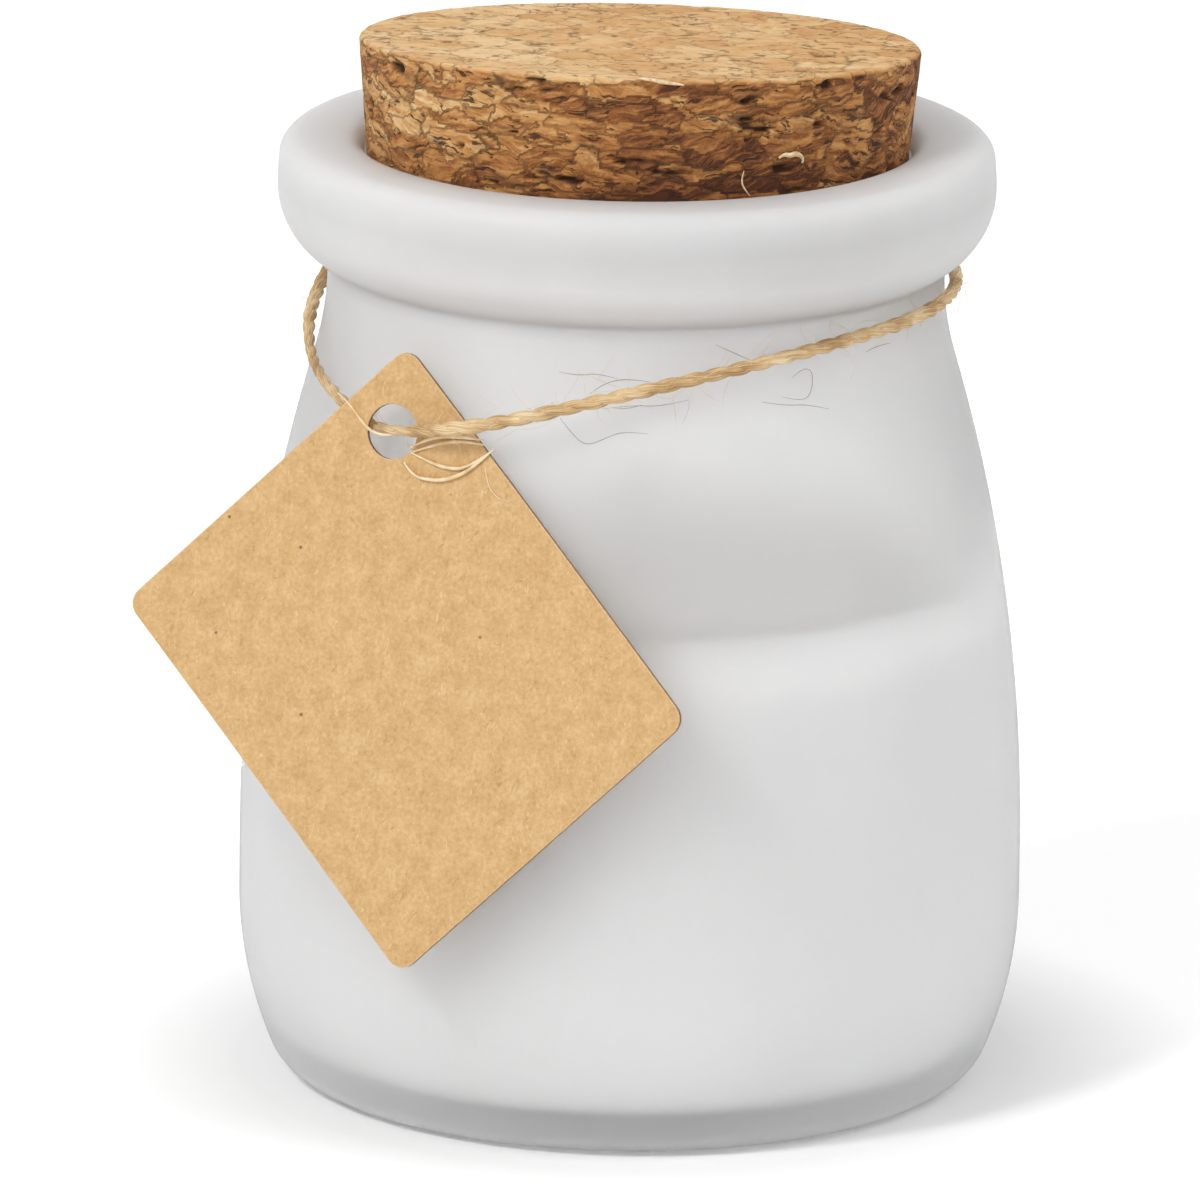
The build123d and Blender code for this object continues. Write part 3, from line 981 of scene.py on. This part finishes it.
def pressed_cork():
    """Cork flakes pressed flat, each with its own tone and fine layers, and darker between them: partly
    their dark joints, partly painted shade in the sunk crevices and gaps.
    """
    look = Look("pressed_cork")
    on_top = look.attribute("on_top")

    def side_and_top(side, top):
        return look.span(on_top, 0.0, 1.0, side, top)

    bent = look.place
    for size, amounts in CORK_BENDS:
        bent = look.moved(bent, size, amounts)
    slope = look.vector_maths("DOT_PRODUCT", bent, look.attribute("slant", "Vector"), output="Value")
    laid = look.vector_maths("ADD", bent, look.node("CombineXYZ", {"Z": slope}).outputs[0])
    layers = look.noise(LAYER_SIZE, 5, 0.62, place=laid)
    speck = look.noise(0.12 * MM, detail=3, roughness=0.7)
    shade = look.maths("ADD", look.attribute("tone"), look.spread(layers, 0.2, 0.8, 0.22))
    shade = look.maths("ADD", shade, look.spread(speck, -0.06, 0.06))
    shade = look.maths("MULTIPLY", shade, side_and_top(1.0, 0.5))
    shade = look.maths("ADD", shade, side_and_top(0.0, 0.62))
    colour = look.ramp(shade, CORK_RAMP)
    murk = look.span(look.noise(MURK_SIZE), 0.6, 0.7)
    murk = look.maths("MULTIPLY", murk, side_and_top(0.6, 0.0))
    colour = look.mixed(murk, colour, linear(*CORK_GREY))
    strokes = look.span(look.noise(STROKE_SIZE, 3, 0.6, place=laid), 0.58, 0.635, 0.0, 0.88)
    flecks = look.span(look.noise(FLECK_SIZE, 3, 0.6, place=bent), 0.57, 0.65, 0.0, 0.6)
    # painted shade: the crevices and open gaps that the mesh sinks are painted dark too, partly as the dark
    # joints between grains
    crevice = look.maths("MULTIPLY", look.attribute("crevice"), side_and_top(0.65, 0.18))
    dark = look.maths("MAXIMUM", look.mixed(on_top, strokes, flecks), crevice)
    dark = look.maths("MAXIMUM", dark, look.attribute("gap"))
    colour = look.mixed(dark, colour, linear(*CORK_DEEP))
    height = look.maths("SUBTRACT", layers, look.maths("MULTIPLY", dark, 0.5))
    normal = look.bump(height, 0.14 * MM)
    return look.finish(Base_Color=colour, Roughness=0.85, Normal=normal, IOR=1.4)


def pale_cork():
    """The fresh, pale inside of a splinter of cork."""
    stops = [(0.3, (206, 168, 118)), (0.7, (246, 226, 190))]
    return mottled("pale_cork", 0.4 * MM, stops, relief=0.05 * MM, Roughness=0.8)


def cork_seat():
    """The cork's slope, its radius where it meets the mouth, its lean and where its middle is."""
    slope = math.tan(math.radians(CORK_TAPER))
    askew = math.radians(CORK_TILT_BACK)
    radius = (bore_radius - CORK_CLEARANCE) * math.cos(askew)
    tilt = Matrix.Rotation(-askew, 3, "X") @ Matrix.Rotation(math.radians(CORK_TILT_SIDE), 3, "Y")
    place = np.array((0, -radius * slope * math.sin(askew), JAR_HEIGHT - LIP_RADIUS))
    return slope, radius, np.array(tilt), place


def cork_rings(slope, seat_radius):
    """The rings of points under the cork's top: radius, height, and how far outward they face."""
    low, high = CORK_EDGE - CORK_BELOW, CORK_ABOVE - CORK_EDGE
    heights = [
        *np.linspace(low, 0, CORK_ROWS_BELOW + 1),
        *np.linspace(0, high, CORK_ROWS_ABOVE + 1)[1:],
    ]
    side = [(seat_radius + slope * height, height, 1.0) for height in heights]
    low_radius, high_radius = side[0][0], side[-1][0]
    low_edge = [
        (low_radius - CORK_EDGE * share, low - CORK_EDGE * share, 0.5) for share in (1.0, 0.5)
    ]
    high_edge = []
    for turn in np.radians((22.5, 45, 67.5)):
        radius = high_radius - CORK_EDGE * (1 - math.cos(turn))
        high_edge.append((radius, high + CORK_EDGE * math.sin(turn), math.cos(turn)))
    bottom_shares = np.linspace(0, 1, CORK_BOTTOM_RINGS + 1)[1:-1]
    bottom = [(low_edge[0][0] * share, -CORK_BELOW, 0.0) for share in bottom_shares]
    return np.array(bottom + low_edge + side + high_edge)


def cork_shape(slope, seat_radius):
    """The cork before it is worn: its points, their normals and its faces, standing upright."""
    disc, border = disc_grid(CORK_GRID)
    columns = len(border)
    angles = np.arctan2(disc[border, 1], disc[border, 0])
    radii, heights, outwards = cork_rings(slope, seat_radius).T
    upwards = np.sqrt(1 - outwards**2) * np.where(heights > 0, 1, -1)

    def round_rings(across, up):
        sides = (np.outer(across, np.cos(angles)), np.outer(across, np.sin(angles)))
        return np.stack([*sides, np.outer(up, np.ones(columns))], axis=-1).reshape(-1, 3)

    top = np.column_stack([disc * (radii[-1] - 0.3 * CORK_EDGE), np.full(len(disc), CORK_ABOVE)])
    points = np.concatenate([top, round_rings(radii, heights), [(0.0, 0.0, -CORK_BELOW)]])
    top_normals = np.tile((0, 0, 1.0), (len(disc), 1))
    normals = np.concatenate([top_normals, round_rings(outwards, upwards), [(0, 0, -1.0)]])
    start = len(disc)
    faces = grid_faces(CORK_GRID, CORK_GRID, close_columns=False)
    faces += grid_faces(len(radii), columns, start=start)
    last = start + (len(radii) - 1) * columns
    center = len(points) - 1
    for k in range(columns):
        beside = (k + 1) % columns
        faces.append((last + k, last + beside, border[beside], border[k]))
        faces.append((center, start + beside, start + k))
    return points, normals, faces


def cork_stopper():
    """The pressed cork, with crevices and gaps between its grains and a crumbled upper edge."""
    slope, seat_radius, tilt, place = cork_seat()
    points, normals, faces = cork_shape(slope, seat_radius)
    tone, slant, crevice, gap = cork_pattern(points)
    on_top = np.clip(normals[:, 2], 0, 1)
    crevice *= 1 - CREVICE_LOSS_SHARE * on_top
    gap *= 1 - GAP_LOSS_SHARE * on_top
    relief = CORK_RELIEF * smooth_noise(points, 1.1 * MM, 111)
    depth = CREVICE_DEPTH * crevice + GAP_DEPTH * gap + relief + CORK_SINK
    edge = np.clip(1 - np.abs(points[:, 2] - CORK_ABOVE) / CRUMBLE_REACH, 0, 1) * (1 - on_top)
    crumble = np.clip(rough_noise(points, 1.4 * MM, 121) - 0.15, 0, 1) * edge
    points = points - normals * (depth + EDGE_CRUMBLE * crumble)[:, None]
    points = points @ tilt.T + place
    cork = mesh_piece("cork", points, faces, [pressed_cork()], "stopper", "pressed_cork")
    held = {"tone": tone, "on_top": on_top, "crevice": crevice, "gap": gap, "slant": slant}
    for name, values in held.items():
        hold(cork, name, values)
    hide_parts("cork_stopper")


def cork_slivers():
    """Pale slivers that stand out of the cork's side."""
    slivers = []
    for radius, gap, pixels in SLIVERS:
        line = smooth_line(seen_on(pixels, "cork", gap), 0.1 * MM)
        slivers.append(hair(line, radius, 8))
    mesh_piece("cork_slivers", *merged(slivers), [pale_cork()], "stopper", "pressed_cork")


# Card tag


def tag_frame():
    """The hole of the card, and the card's directions: along its short side, its long side, out."""
    joint = next(j for j in frame["joints"] if j["name"] == "tag_sway")
    hole = np.array(joint["pos_m"])
    normal = np.array(joint["axis"]) / np.linalg.norm(joint["axis"])
    across = np.array((-normal[1], normal[0], 0))
    across /= np.linalg.norm(across)
    if across[0] < 0:
        across = -across
    upward = np.cross(normal, across)
    turn = math.radians(TAG_TURN)
    along = across * math.cos(turn) + upward * math.sin(turn)
    return hole, along, np.cross(normal, along), normal


def card_outline(count):
    """Points round the card's rounded outline, from its hole, and its outward directions."""
    right, high = TAG_HOLE_FROM_SIDE - TAG_CORNER, TAG_HOLE_FROM_END - TAG_CORNER
    left = TAG_HOLE_FROM_SIDE - TAG_WIDTH + TAG_CORNER
    low = TAG_HOLE_FROM_END - TAG_LENGTH + TAG_CORNER
    points = []
    for quarter, center in enumerate([(right, high), (left, high), (left, low), (right, low)]):
        points += arc(center, TAG_CORNER, 90 * quarter, 90 * quarter + 90)
    ring = evenly_along(np.array(points + points[:1]), count, endpoint=False)
    ahead = np.roll(ring, -1, axis=0) - np.roll(ring, 1, axis=0)
    outward = np.stack([ahead[:, 1], -ahead[:, 0]], axis=1)
    return ring, units(outward)


def kraft_card():
    """Brown card: clouded, with short fibres, darker and paler, and a few dark specks."""
    look = Look("kraft_card")
    cloud = look.noise(1.5 * MM, detail=5, roughness=0.65)
    fine = look.noise(0.32 * MM, detail=4, roughness=0.7)
    shade = look.maths("ADD", look.spread(cloud, 0.0, 0.45), look.spread(fine, 0.0, 0.55))
    colour = look.ramp(shade, KRAFT_RAMP)
    dark = look.noise(DARK_CARD_FIBRE, 2, 0.5, 2.5)
    colour = look.mixed(look.span(dark, 0.655, 0.70, 0.0, 0.28), colour, linear(150, 108, 66))
    pale = look.noise(PALE_CARD_FIBRE, 2, 0.5, 2.5)
    colour = look.mixed(look.span(pale, 0.66, 0.71, 0.0, 0.5), colour, linear(236, 208, 166))
    specks = look.span(look.scattered(3.4 * MM), 0.03, 0.05, 0.75, 0.0)
    colour = look.mixed(specks, colour, linear(96, 66, 40))
    height = look.maths("ADD", fine, look.maths("MULTIPLY", cloud, 0.5))
    return look.finish(Base_Color=colour, Roughness=0.8, Normal=look.bump(height, 0.03 * MM), IOR=1.4)


def card_edge(name, dark, pale):
    """The cut edge: fibrous; dark between the two faces, partly its own core and partly painted shade, and
    pale where the faces round over, a painted highlight.
    """
    return mottled(name, 0.2 * MM, [(0.3, dark), (0.7, pale)], 4, 0.7, 0.05 * MM, Roughness=0.9)


def card_rings(outer, outward, inward):
    """Rings over the card, from its hole to its edge and back: points, heights, and 1 for the border."""
    hole_ring = inward * TAG_HOLE_RADIUS
    half = TAG_THICKNESS / 2
    edge = [
        (CARD_EDGE * (1 - math.cos(turn)), half - CARD_EDGE * (1 - math.sin(turn)))
        for turn in np.radians((0, 30, 60, 90))
    ]
    rings = []
    for side, start, end, grow, stop in (
        (1, hole_ring, outer, inward, -outward),
        (-1, outer, hole_ring, -outward, inward),
    ):
        flat_start = start + grow * CARD_EDGE
        flat_end = end + stop * CARD_EDGE
        rings += [(start + grow * inset, side * height, 1) for inset, height in edge]
        for share in np.linspace(0, 1, CARD_ROWS + 2)[1:-1]:
            rings.append((flat_start + (flat_end - flat_start) * share, side * half, 0))
        rings += [(end + stop * inset, side * height, 1) for inset, height in edge[::-1]]
    return rings


def kraft_tag():
    """The blank card, with softly rounded cut edges and the least bow that such a card takes."""
    outer, outward = card_outline(CARD_COLUMNS)
    inward = units(outer)
    rings, heights, border = zip(*card_rings(outer, outward, inward))
    flat = np.stack(rings)
    height = np.repeat(np.array(heights)[:, None], CARD_COLUMNS, axis=1)
    middle = np.array((TAG_HOLE_FROM_SIDE - TAG_WIDTH / 2, TAG_HOLE_FROM_END - TAG_LENGTH / 2))
    far = np.linalg.norm((flat - middle) / (TAG_LENGTH / 2), axis=-1)
    height = height + CARD_BOW * np.clip(far - 0.55, 0, None) ** 2
    hole, along, long_way, normal = tag_frame()
    points = hole + flat[..., :1] * along + flat[..., 1:] * long_way + height[..., None] * normal
    points = points.reshape(-1, 3)
    points += np.outer(CARD_RUFFLE * rough_noise(points, 0.8 * MM, 131), normal)
    faces = [face[::-1] for face in grid_faces(len(rings), CARD_COLUMNS, close_rows=True)]
    # Which of the materials each row of faces has: the border's between two of its rings
    rows = np.array(border) * np.roll(border, -1)
    rows[[len(rings) // 2 - 1, len(rings) - 1]] = 2
    border_look = card_edge("card_border", *BORDER_SHADES)
    core_look = card_edge("card_core", *CORE_SHADES)
    materials = [kraft_card(), border_look, core_look]
    indices = np.repeat(rows, CARD_COLUMNS)
    card = mesh_piece("card", points, faces, materials, "tag", "kraft_card", indices)
    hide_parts("kraft_tag")
    return card


# Jute twine


def smooth_line(route, step):
    """Points about a step apart on the smooth line that a route's points steer."""
    data = bpy.data.curves.new("guide", "CURVE")
    data.dimensions = "3D"
    data.resolution_u = 24
    spline = data.splines.new("NURBS")
    spline.points.add(len(route) - 1)
    for point, place in zip(spline.points, route):
        point.co = (*place, 1)
    spline.order_u = 3
    spline.use_endpoint_u = True
    guide = bpy.data.objects.new("guide", data)
    mesh = bpy.data.meshes.new_from_object(guide)
    line = np.array([v.co for v in mesh.vertices])
    bpy.data.meshes.remove(mesh)
    bpy.data.objects.remove(guide)
    bpy.data.curves.remove(data)
    length = np.linalg.norm(np.diff(line, axis=0), axis=1).sum()
    return evenly_along(line, max(2, round(length / step)) + 1)


def evenly_along(points, count, endpoint=True):
    """A number of points evenly spaced along the line through points."""
    steps = np.linalg.norm(np.diff(points, axis=0), axis=1)
    distance = np.concatenate([[0], np.cumsum(steps)])
    wanted = np.linspace(0, distance[-1], count, endpoint=endpoint)
    return np.stack([np.interp(wanted, distance, column) for column in points.T], axis=1)


def frames_along(line):
    """Two directions square to a line at each of its points, which turn no more than they must."""
    tangents = units(np.gradient(line, axis=0))
    first = np.cross(tangents[0], (0, 0, 1.0))
    if np.linalg.norm(first) < 0.1:
        first = np.cross(tangents[0], (1.0, 0, 0))
    across = [first / np.linalg.norm(first)]
    for tangent in tangents[1:]:
        side = across[-1] - tangent * (across[-1] @ tangent)
        across.append(side / np.linalg.norm(side))
    across = np.array(across)
    return tangents, across, np.cross(tangents, across)


def spokes(first, second, sides):
    """Directions all round a line at each of its points, from two directions square to it."""
    angle = around(sides)[None, :, None]
    return first[:, None, :] * np.cos(angle) + second[:, None, :] * np.sin(angle)


def plies(line, diameter, seed, taper=0.0):
    """Two spun plies that twist about a line, each ridged by the fibres that it is spun of."""
    tangents, across, upward = frames_along(line)
    step = np.linalg.norm(np.diff(line, axis=0), axis=1).mean()
    distance = np.arange(len(line)) * step
    parts, lays = [], []
    thick = 1 + 0.1 * smooth_noise(line, 6 * MM, seed) + 0.06 * smooth_noise(line, 1.5 * MM, seed + 1)
    for place, reach, share in THIN_PLACES:
        off = np.linalg.norm(line - np.array(place), axis=1) / reach
        thick *= 1 - share * np.exp(-(off**2))
    if taper:
        thick *= 1 - taper * np.clip(1 - (distance[-1] - distance) / (3 * diameter), 0, 1)
    for ply in range(2):
        turn = 2 * np.pi * distance / TWINE_PITCH + np.pi * ply
        turn += 0.3 * smooth_noise(line, 9 * MM, seed + 2)
        center = across * np.cos(turn)[:, None] + upward * np.sin(turn)[:, None]
        tilt = 2 * np.pi * PLY_OFFSET_SHARE * diameter / TWINE_PITCH
        along = units(tangents + np.cross(tangents, center) * tilt)
        sideways = np.cross(along, center)
        spin = around(PLY_SIDES) + 2 * np.pi * distance[:, None] / FIBRE_PITCH
        ridges = 1 + 0.05 * np.cos(5 * spin + seed) + 0.03 * np.cos(8 * spin + 2 * ply)
        radius = PLY_RADIUS_SHARE * diameter * thick[:, None] * ridges
        middle = line + center * (PLY_OFFSET_SHARE * diameter * thick)[:, None]
        outward = spokes(center, sideways, PLY_SIDES)
        rings = middle[:, None, :] + outward * radius[..., None]
        grain = FIBRE_RELIEF * rough_noise(rings.reshape(-1, 3), 0.25 * MM, seed + 9)
        rings += outward * grain.reshape(radius.shape)[..., None]
        parts.append(capped_tube(rings))
        along_fibre = np.broadcast_to(distance[:, None] / FIBRE_LENGTH + 7 * ply, spin.shape)
        lay = np.stack([FIBRES_ACROSS * np.cos(spin), FIBRES_ACROSS * np.sin(spin), along_fibre], axis=-1)
        lays.append(lay.reshape(-1, 3))
    return *merged(parts), np.concatenate(lays)


def hair(points, radius, sides=3):
    """A fine fibre along points, thinner at its ends."""
    points = np.array(points)
    _, across, upward = frames_along(points)
    share = np.linspace(0, 1, len(points))
    thick = radius * (0.35 + 0.65 * np.sin(np.pi * np.clip(share, 0.05, 0.95)))
    outward = spokes(across, upward, sides)
    return capped_tube(points[:, None, :] + outward * thick[:, None, None])


def off_the_glass(points, gap):
    """The points, those too near the glass moved straight out from the axis."""
    points = np.array(points)
    across = np.hypot(points[:, 0], points[:, 1])
    least = glass_radius(points[:, 2]) + gap
    push = np.maximum(least / np.maximum(across, MM), 1)
    points[:, :2] *= push[:, None]
    return points


def wandering(random, start, direction, length, steps, curl, unrest):
    """A fibre's points, as its direction curls and changes at random from step to step."""
    points = [start]
    for _ in range(steps):
        direction = direction + curl + random.normal(0, unrest, 3)
        direction /= np.linalg.norm(direction)
        points.append(points[-1] + direction * length / steps)
    return off_the_glass(points, FUZZ_GAP)


def fuzz(line, diameter, count, seed, longest):
    """Short fibres that stand off the twine, most of them lying back along it."""
    random = np.random.default_rng(seed)
    tangents, across, upward = frames_along(line)
    parts = []
    for _ in range(count):
        start = random.integers(4, len(line) - 4)
        turn = random.uniform(0, 2 * np.pi)
        out = across[start] * math.cos(turn) + upward[start] * math.sin(turn)
        way = tangents[start] * random.choice((-1, 1)) * random.uniform(0.7, 1.2)
        direction = way + out * random.uniform(0.25, 0.9)
        direction /= np.linalg.norm(direction)
        length = longest * random.uniform(0.15, 1.0) ** 2
        if line[start][0] < BARE_SIDE:
            length *= BARE_SHARE
        root = line[start] + out * diameter * FUZZ_ROOT_SHARE
        curl = random.normal(0, 0.22, 3)
        points = wandering(random, root, direction, length, 9, curl, 0.1)
        parts.append(hair(points, random.uniform(*HAIR_RADII)))
    return parts


def jute():
    """Spun jute: pale gold and brown fibres with a slight sheen, running along the plies."""
    look = Look("jute")
    fibre = look.noise(1.0, detail=4, roughness=0.6, place=look.attribute("lay", "Vector"))
    patch = look.spread(look.noise(3.5 * MM), 0.0, 0.4, 0.15)
    shade = look.maths("ADD", look.spread(fibre, 0.0, 0.6), patch)
    return look.finish(
        Base_Color=look.ramp(shade, JUTE_RAMP),
        Roughness=0.65,
        Normal=look.bump(fibre, 0.04 * MM),
        Sheen_Weight=0.15,
        Sheen_Roughness=0.5,
    )


def loose_fibre(name, dark, pale):
    """Single fibres: paler than the twine over the card, and painted grey and darker than the glass against
    it, partly as painted shade.
    """
    return mottled(name, 1.2 * MM, [(0.35, dark), (0.65, pale)], Roughness=0.6, IOR=1.4)


def seen_on(pixels, carrier, gap):
    """Where pixels of the photograph lie on the glass, the card or the cork, a gap off its face."""
    camera = bpy.context.scene.camera.matrix_world
    start = np.array(camera.translation)
    turn = np.array(camera.to_3x3())
    points = []
    for x, y in pixels:
        way = turn @ np.array((x - IMAGE_SIZE / 2, IMAGE_SIZE / 2 - y, -FOCAL_PIXELS))
        way /= np.linalg.norm(way)
        if carrier == "card":
            hole, _, _, normal = tag_frame()
            level = TAG_THICKNESS / 2 + gap
            points.append(start + way * (((hole - start) @ normal + level) / (way @ normal)))
            continue
        path = start + np.arange(*SIGHT_SPAN, SIGHT_STEP)[:, None] * way
        from_axis, side = path, glass_radius(path[:, 2])
        if carrier == "cork":
            slope, radius, tilt, place = cork_seat()
            from_axis = (path - place) @ tilt
            side = radius + slope * from_axis[:, 2]
        within = np.hypot(from_axis[:, 0], from_axis[:, 1]) < side + gap
        points.append(path[np.argmax(within)])
    return points


def stray_fibres(fibre_look):
    """Strands that have come loose from the twine, over the card and on the glass."""
    strays = [("card", *stray) for stray in CARD_STRAYS]
    strays += [("glass", *GLASS_STRAY, pixels) for pixels in GLASS_STRAYS]
    parts, on_glass = [], []
    for carrier, radius, gap, pixels in strays:
        line = smooth_line(seen_on(pixels, carrier, gap), 0.2 * MM)
        parts.append(hair(line, radius, 6))
        on_glass += [carrier == "glass"] * len(parts[-1][1])
    looks = [fibre_look, loose_fibre("jute_fibre_dark", *DARK_FIBRE)]
    mesh_piece("stray_fibres", *merged(parts), looks, "twine", "jute_twine", on_glass)


def in_metres(points):
    """A route given in millimetres, in metres."""
    return [tuple(MM * x for x in point) for point in points]


def twine_loop(jute_look, fibre_look):
    """The loop round the neck and through the card's hole, with its fuzz."""
    route = in_metres(TWINE_ROUTE)
    line = smooth_line(route, TWINE_STEP)
    vertices, faces, lays = plies(line, TWINE_DIAMETER, 151)
    loop = mesh_piece("twine", vertices, faces, [jute_look], "twine", "jute_twine")
    hold(loop, "lay", lays)
    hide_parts("twine_loop")
    hairs = fuzz(line, TWINE_DIAMETER, FUZZ_COUNT, 161, FUZZ_LONGEST)
    mesh_piece("twine_fuzz", *merged(hairs), [fibre_look], "twine", "jute_twine")
    return loop, route[0], line


def knot_route(sign):
    """One end of the twine: once and a half round the other end, and then hanging down."""
    points = []
    for share in np.linspace(0, 1, 19):
        x = sign * KNOT_LENGTH * (share - 0.5)
        turn = math.radians(90 + 540 * share)
        reach = KNOT_WRAP * min(1, 5 * share)
        points.append((x, KNOT_BACK + sign * reach * math.cos(turn), KNOT_HEIGHT + reach * math.sin(turn)))
    return points


def twine_knot(jute_look, fibre_look):
    """A half knot pulled tight behind the neck; its two cut ends hang down and fray a little."""
    parts, hairs, lays = [], [], []
    for sign, tail in ((1, RIGHT_TAIL), (-1, LEFT_TAIL)):
        line = smooth_line(knot_route(sign) + in_metres(tail), TWINE_STEP)
        vertices, faces, lay = plies(line, TWINE_DIAMETER * KNOT_SQUEEZE_SHARE, 171 + sign, taper=0.35)
        parts.append((vertices, faces))
        lays.append(lay)
        hairs += fuzz(line, TWINE_DIAMETER, KNOT_FUZZ, 181 + sign, 0.6 * FUZZ_LONGEST)
        hairs += frayed_end(line, 191 + sign)
    knot = mesh_piece("knot", *merged(parts), [jute_look], "twine", "jute_twine")
    hold(knot, "lay", np.concatenate(lays))
    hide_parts("twine_knot")
    mesh_piece("knot_fuzz", *merged(hairs), [fibre_look], "twine", "jute_twine")
    return knot


def frayed_end(line, seed):
    """The fibres that spread out of a cut end."""
    random = np.random.default_rng(seed)
    way = line[-1] - line[-5]
    way /= np.linalg.norm(way)
    parts = []
    for _ in range(FRAY_COUNT):
        direction = way + random.normal(0, 0.22, 3)
        root = line[-3] + random.normal(0, 0.16 * MM, 3)
        length = random.uniform(*FRAY_LENGTHS)
        points = wandering(random, root, direction, length, 6, 0.0, 0.08)
        parts.append(hair(points, HAIR_RADII[1]))
    return parts


# Stage


def stage_floor():
    """A pale floor whose glow, painted light, makes it white to the camera and washes out the cast shadow
    away from the jar; round the jar the glow fades, so the floor shows greyer there, with the contact
    shadow.
    """
    look = Look("floor")
    clear_of_jar = look.span(look.vector_maths("LENGTH", look.place, output="Value"), *FLOOR_LIFT_RADII)
    material = look.finish(
        Base_Color=FLOOR_COLOUR,
        Roughness=1.0,
        Specular_IOR_Level=0.0,
        Emission_Color=(1.0, 1.0, 1.0),
        Emission_Strength=look.maths("MULTIPLY", look.behind(clear_of_jar), FLOOR_LIFT),
    )
    half = FLOOR_SIZE / 2
    mesh = bpy.data.meshes.new("floor")
    corners = [(-half, -half), (half, -half), (half, half), (-half, half)]
    mesh.from_pydata([(x, y, -FLOOR_GAP) for x, y in corners], [], [(0, 1, 2, 3)])
    mesh.materials.append(material)
    placed("floor", mesh)


def surroundings():
    """An even pale studio: plain light on the object, and white behind it."""
    world = bpy.data.worlds.new("studio")
    bpy.context.scene.world = world
    world.use_nodes = True
    air = Nodes(world.node_tree)
    background = air.nodes["Background"]
    air.put(background.inputs["Strength"], air.span(air.behind(), 0.0, 1.0, WORLD_LIGHT, 1.0))
    air.put(background.inputs["Color"], (1, 1, 1))


def lamp(name, place, size, power):
    """A round lamp that faces the middle of the jar."""
    data = bpy.data.lights.new(name, "AREA")
    data.shape = "DISK"
    data.size = size
    data.energy = power
    light = placed(name, data)
    light.location = place
    way = Vector((0, 0, JAR_HEIGHT / 2)) - Vector(place)
    light.rotation_euler = way.to_track_quat("-Z", "Y").to_euler()


bpy.context.scene.view_settings.view_transform = "Standard"
make_camera()
stage_floor()
surroundings()
lamp("key", KEY_PLACE, KEY_SIZE, KEY_POWER)
lamp("fill", FILL_PLACE, FILL_SIZE, FILL_POWER)
jute_look = jute()
fibre_look = loose_fibre("jute_fibre", *PALE_FIBRE)
loop, loop_start, loop_line = twine_loop(jute_look, fibre_look)
knot = twine_knot(jute_look, fibre_look)
card = kraft_tag()
stray_fibres(fibre_look)
glass_jar()
wax_fill()
wick()
cork_stopper()
cork_slivers()
dress_node("wick_sustainer", plain_metal())
dress_node("wick_sticker", soft_pad())
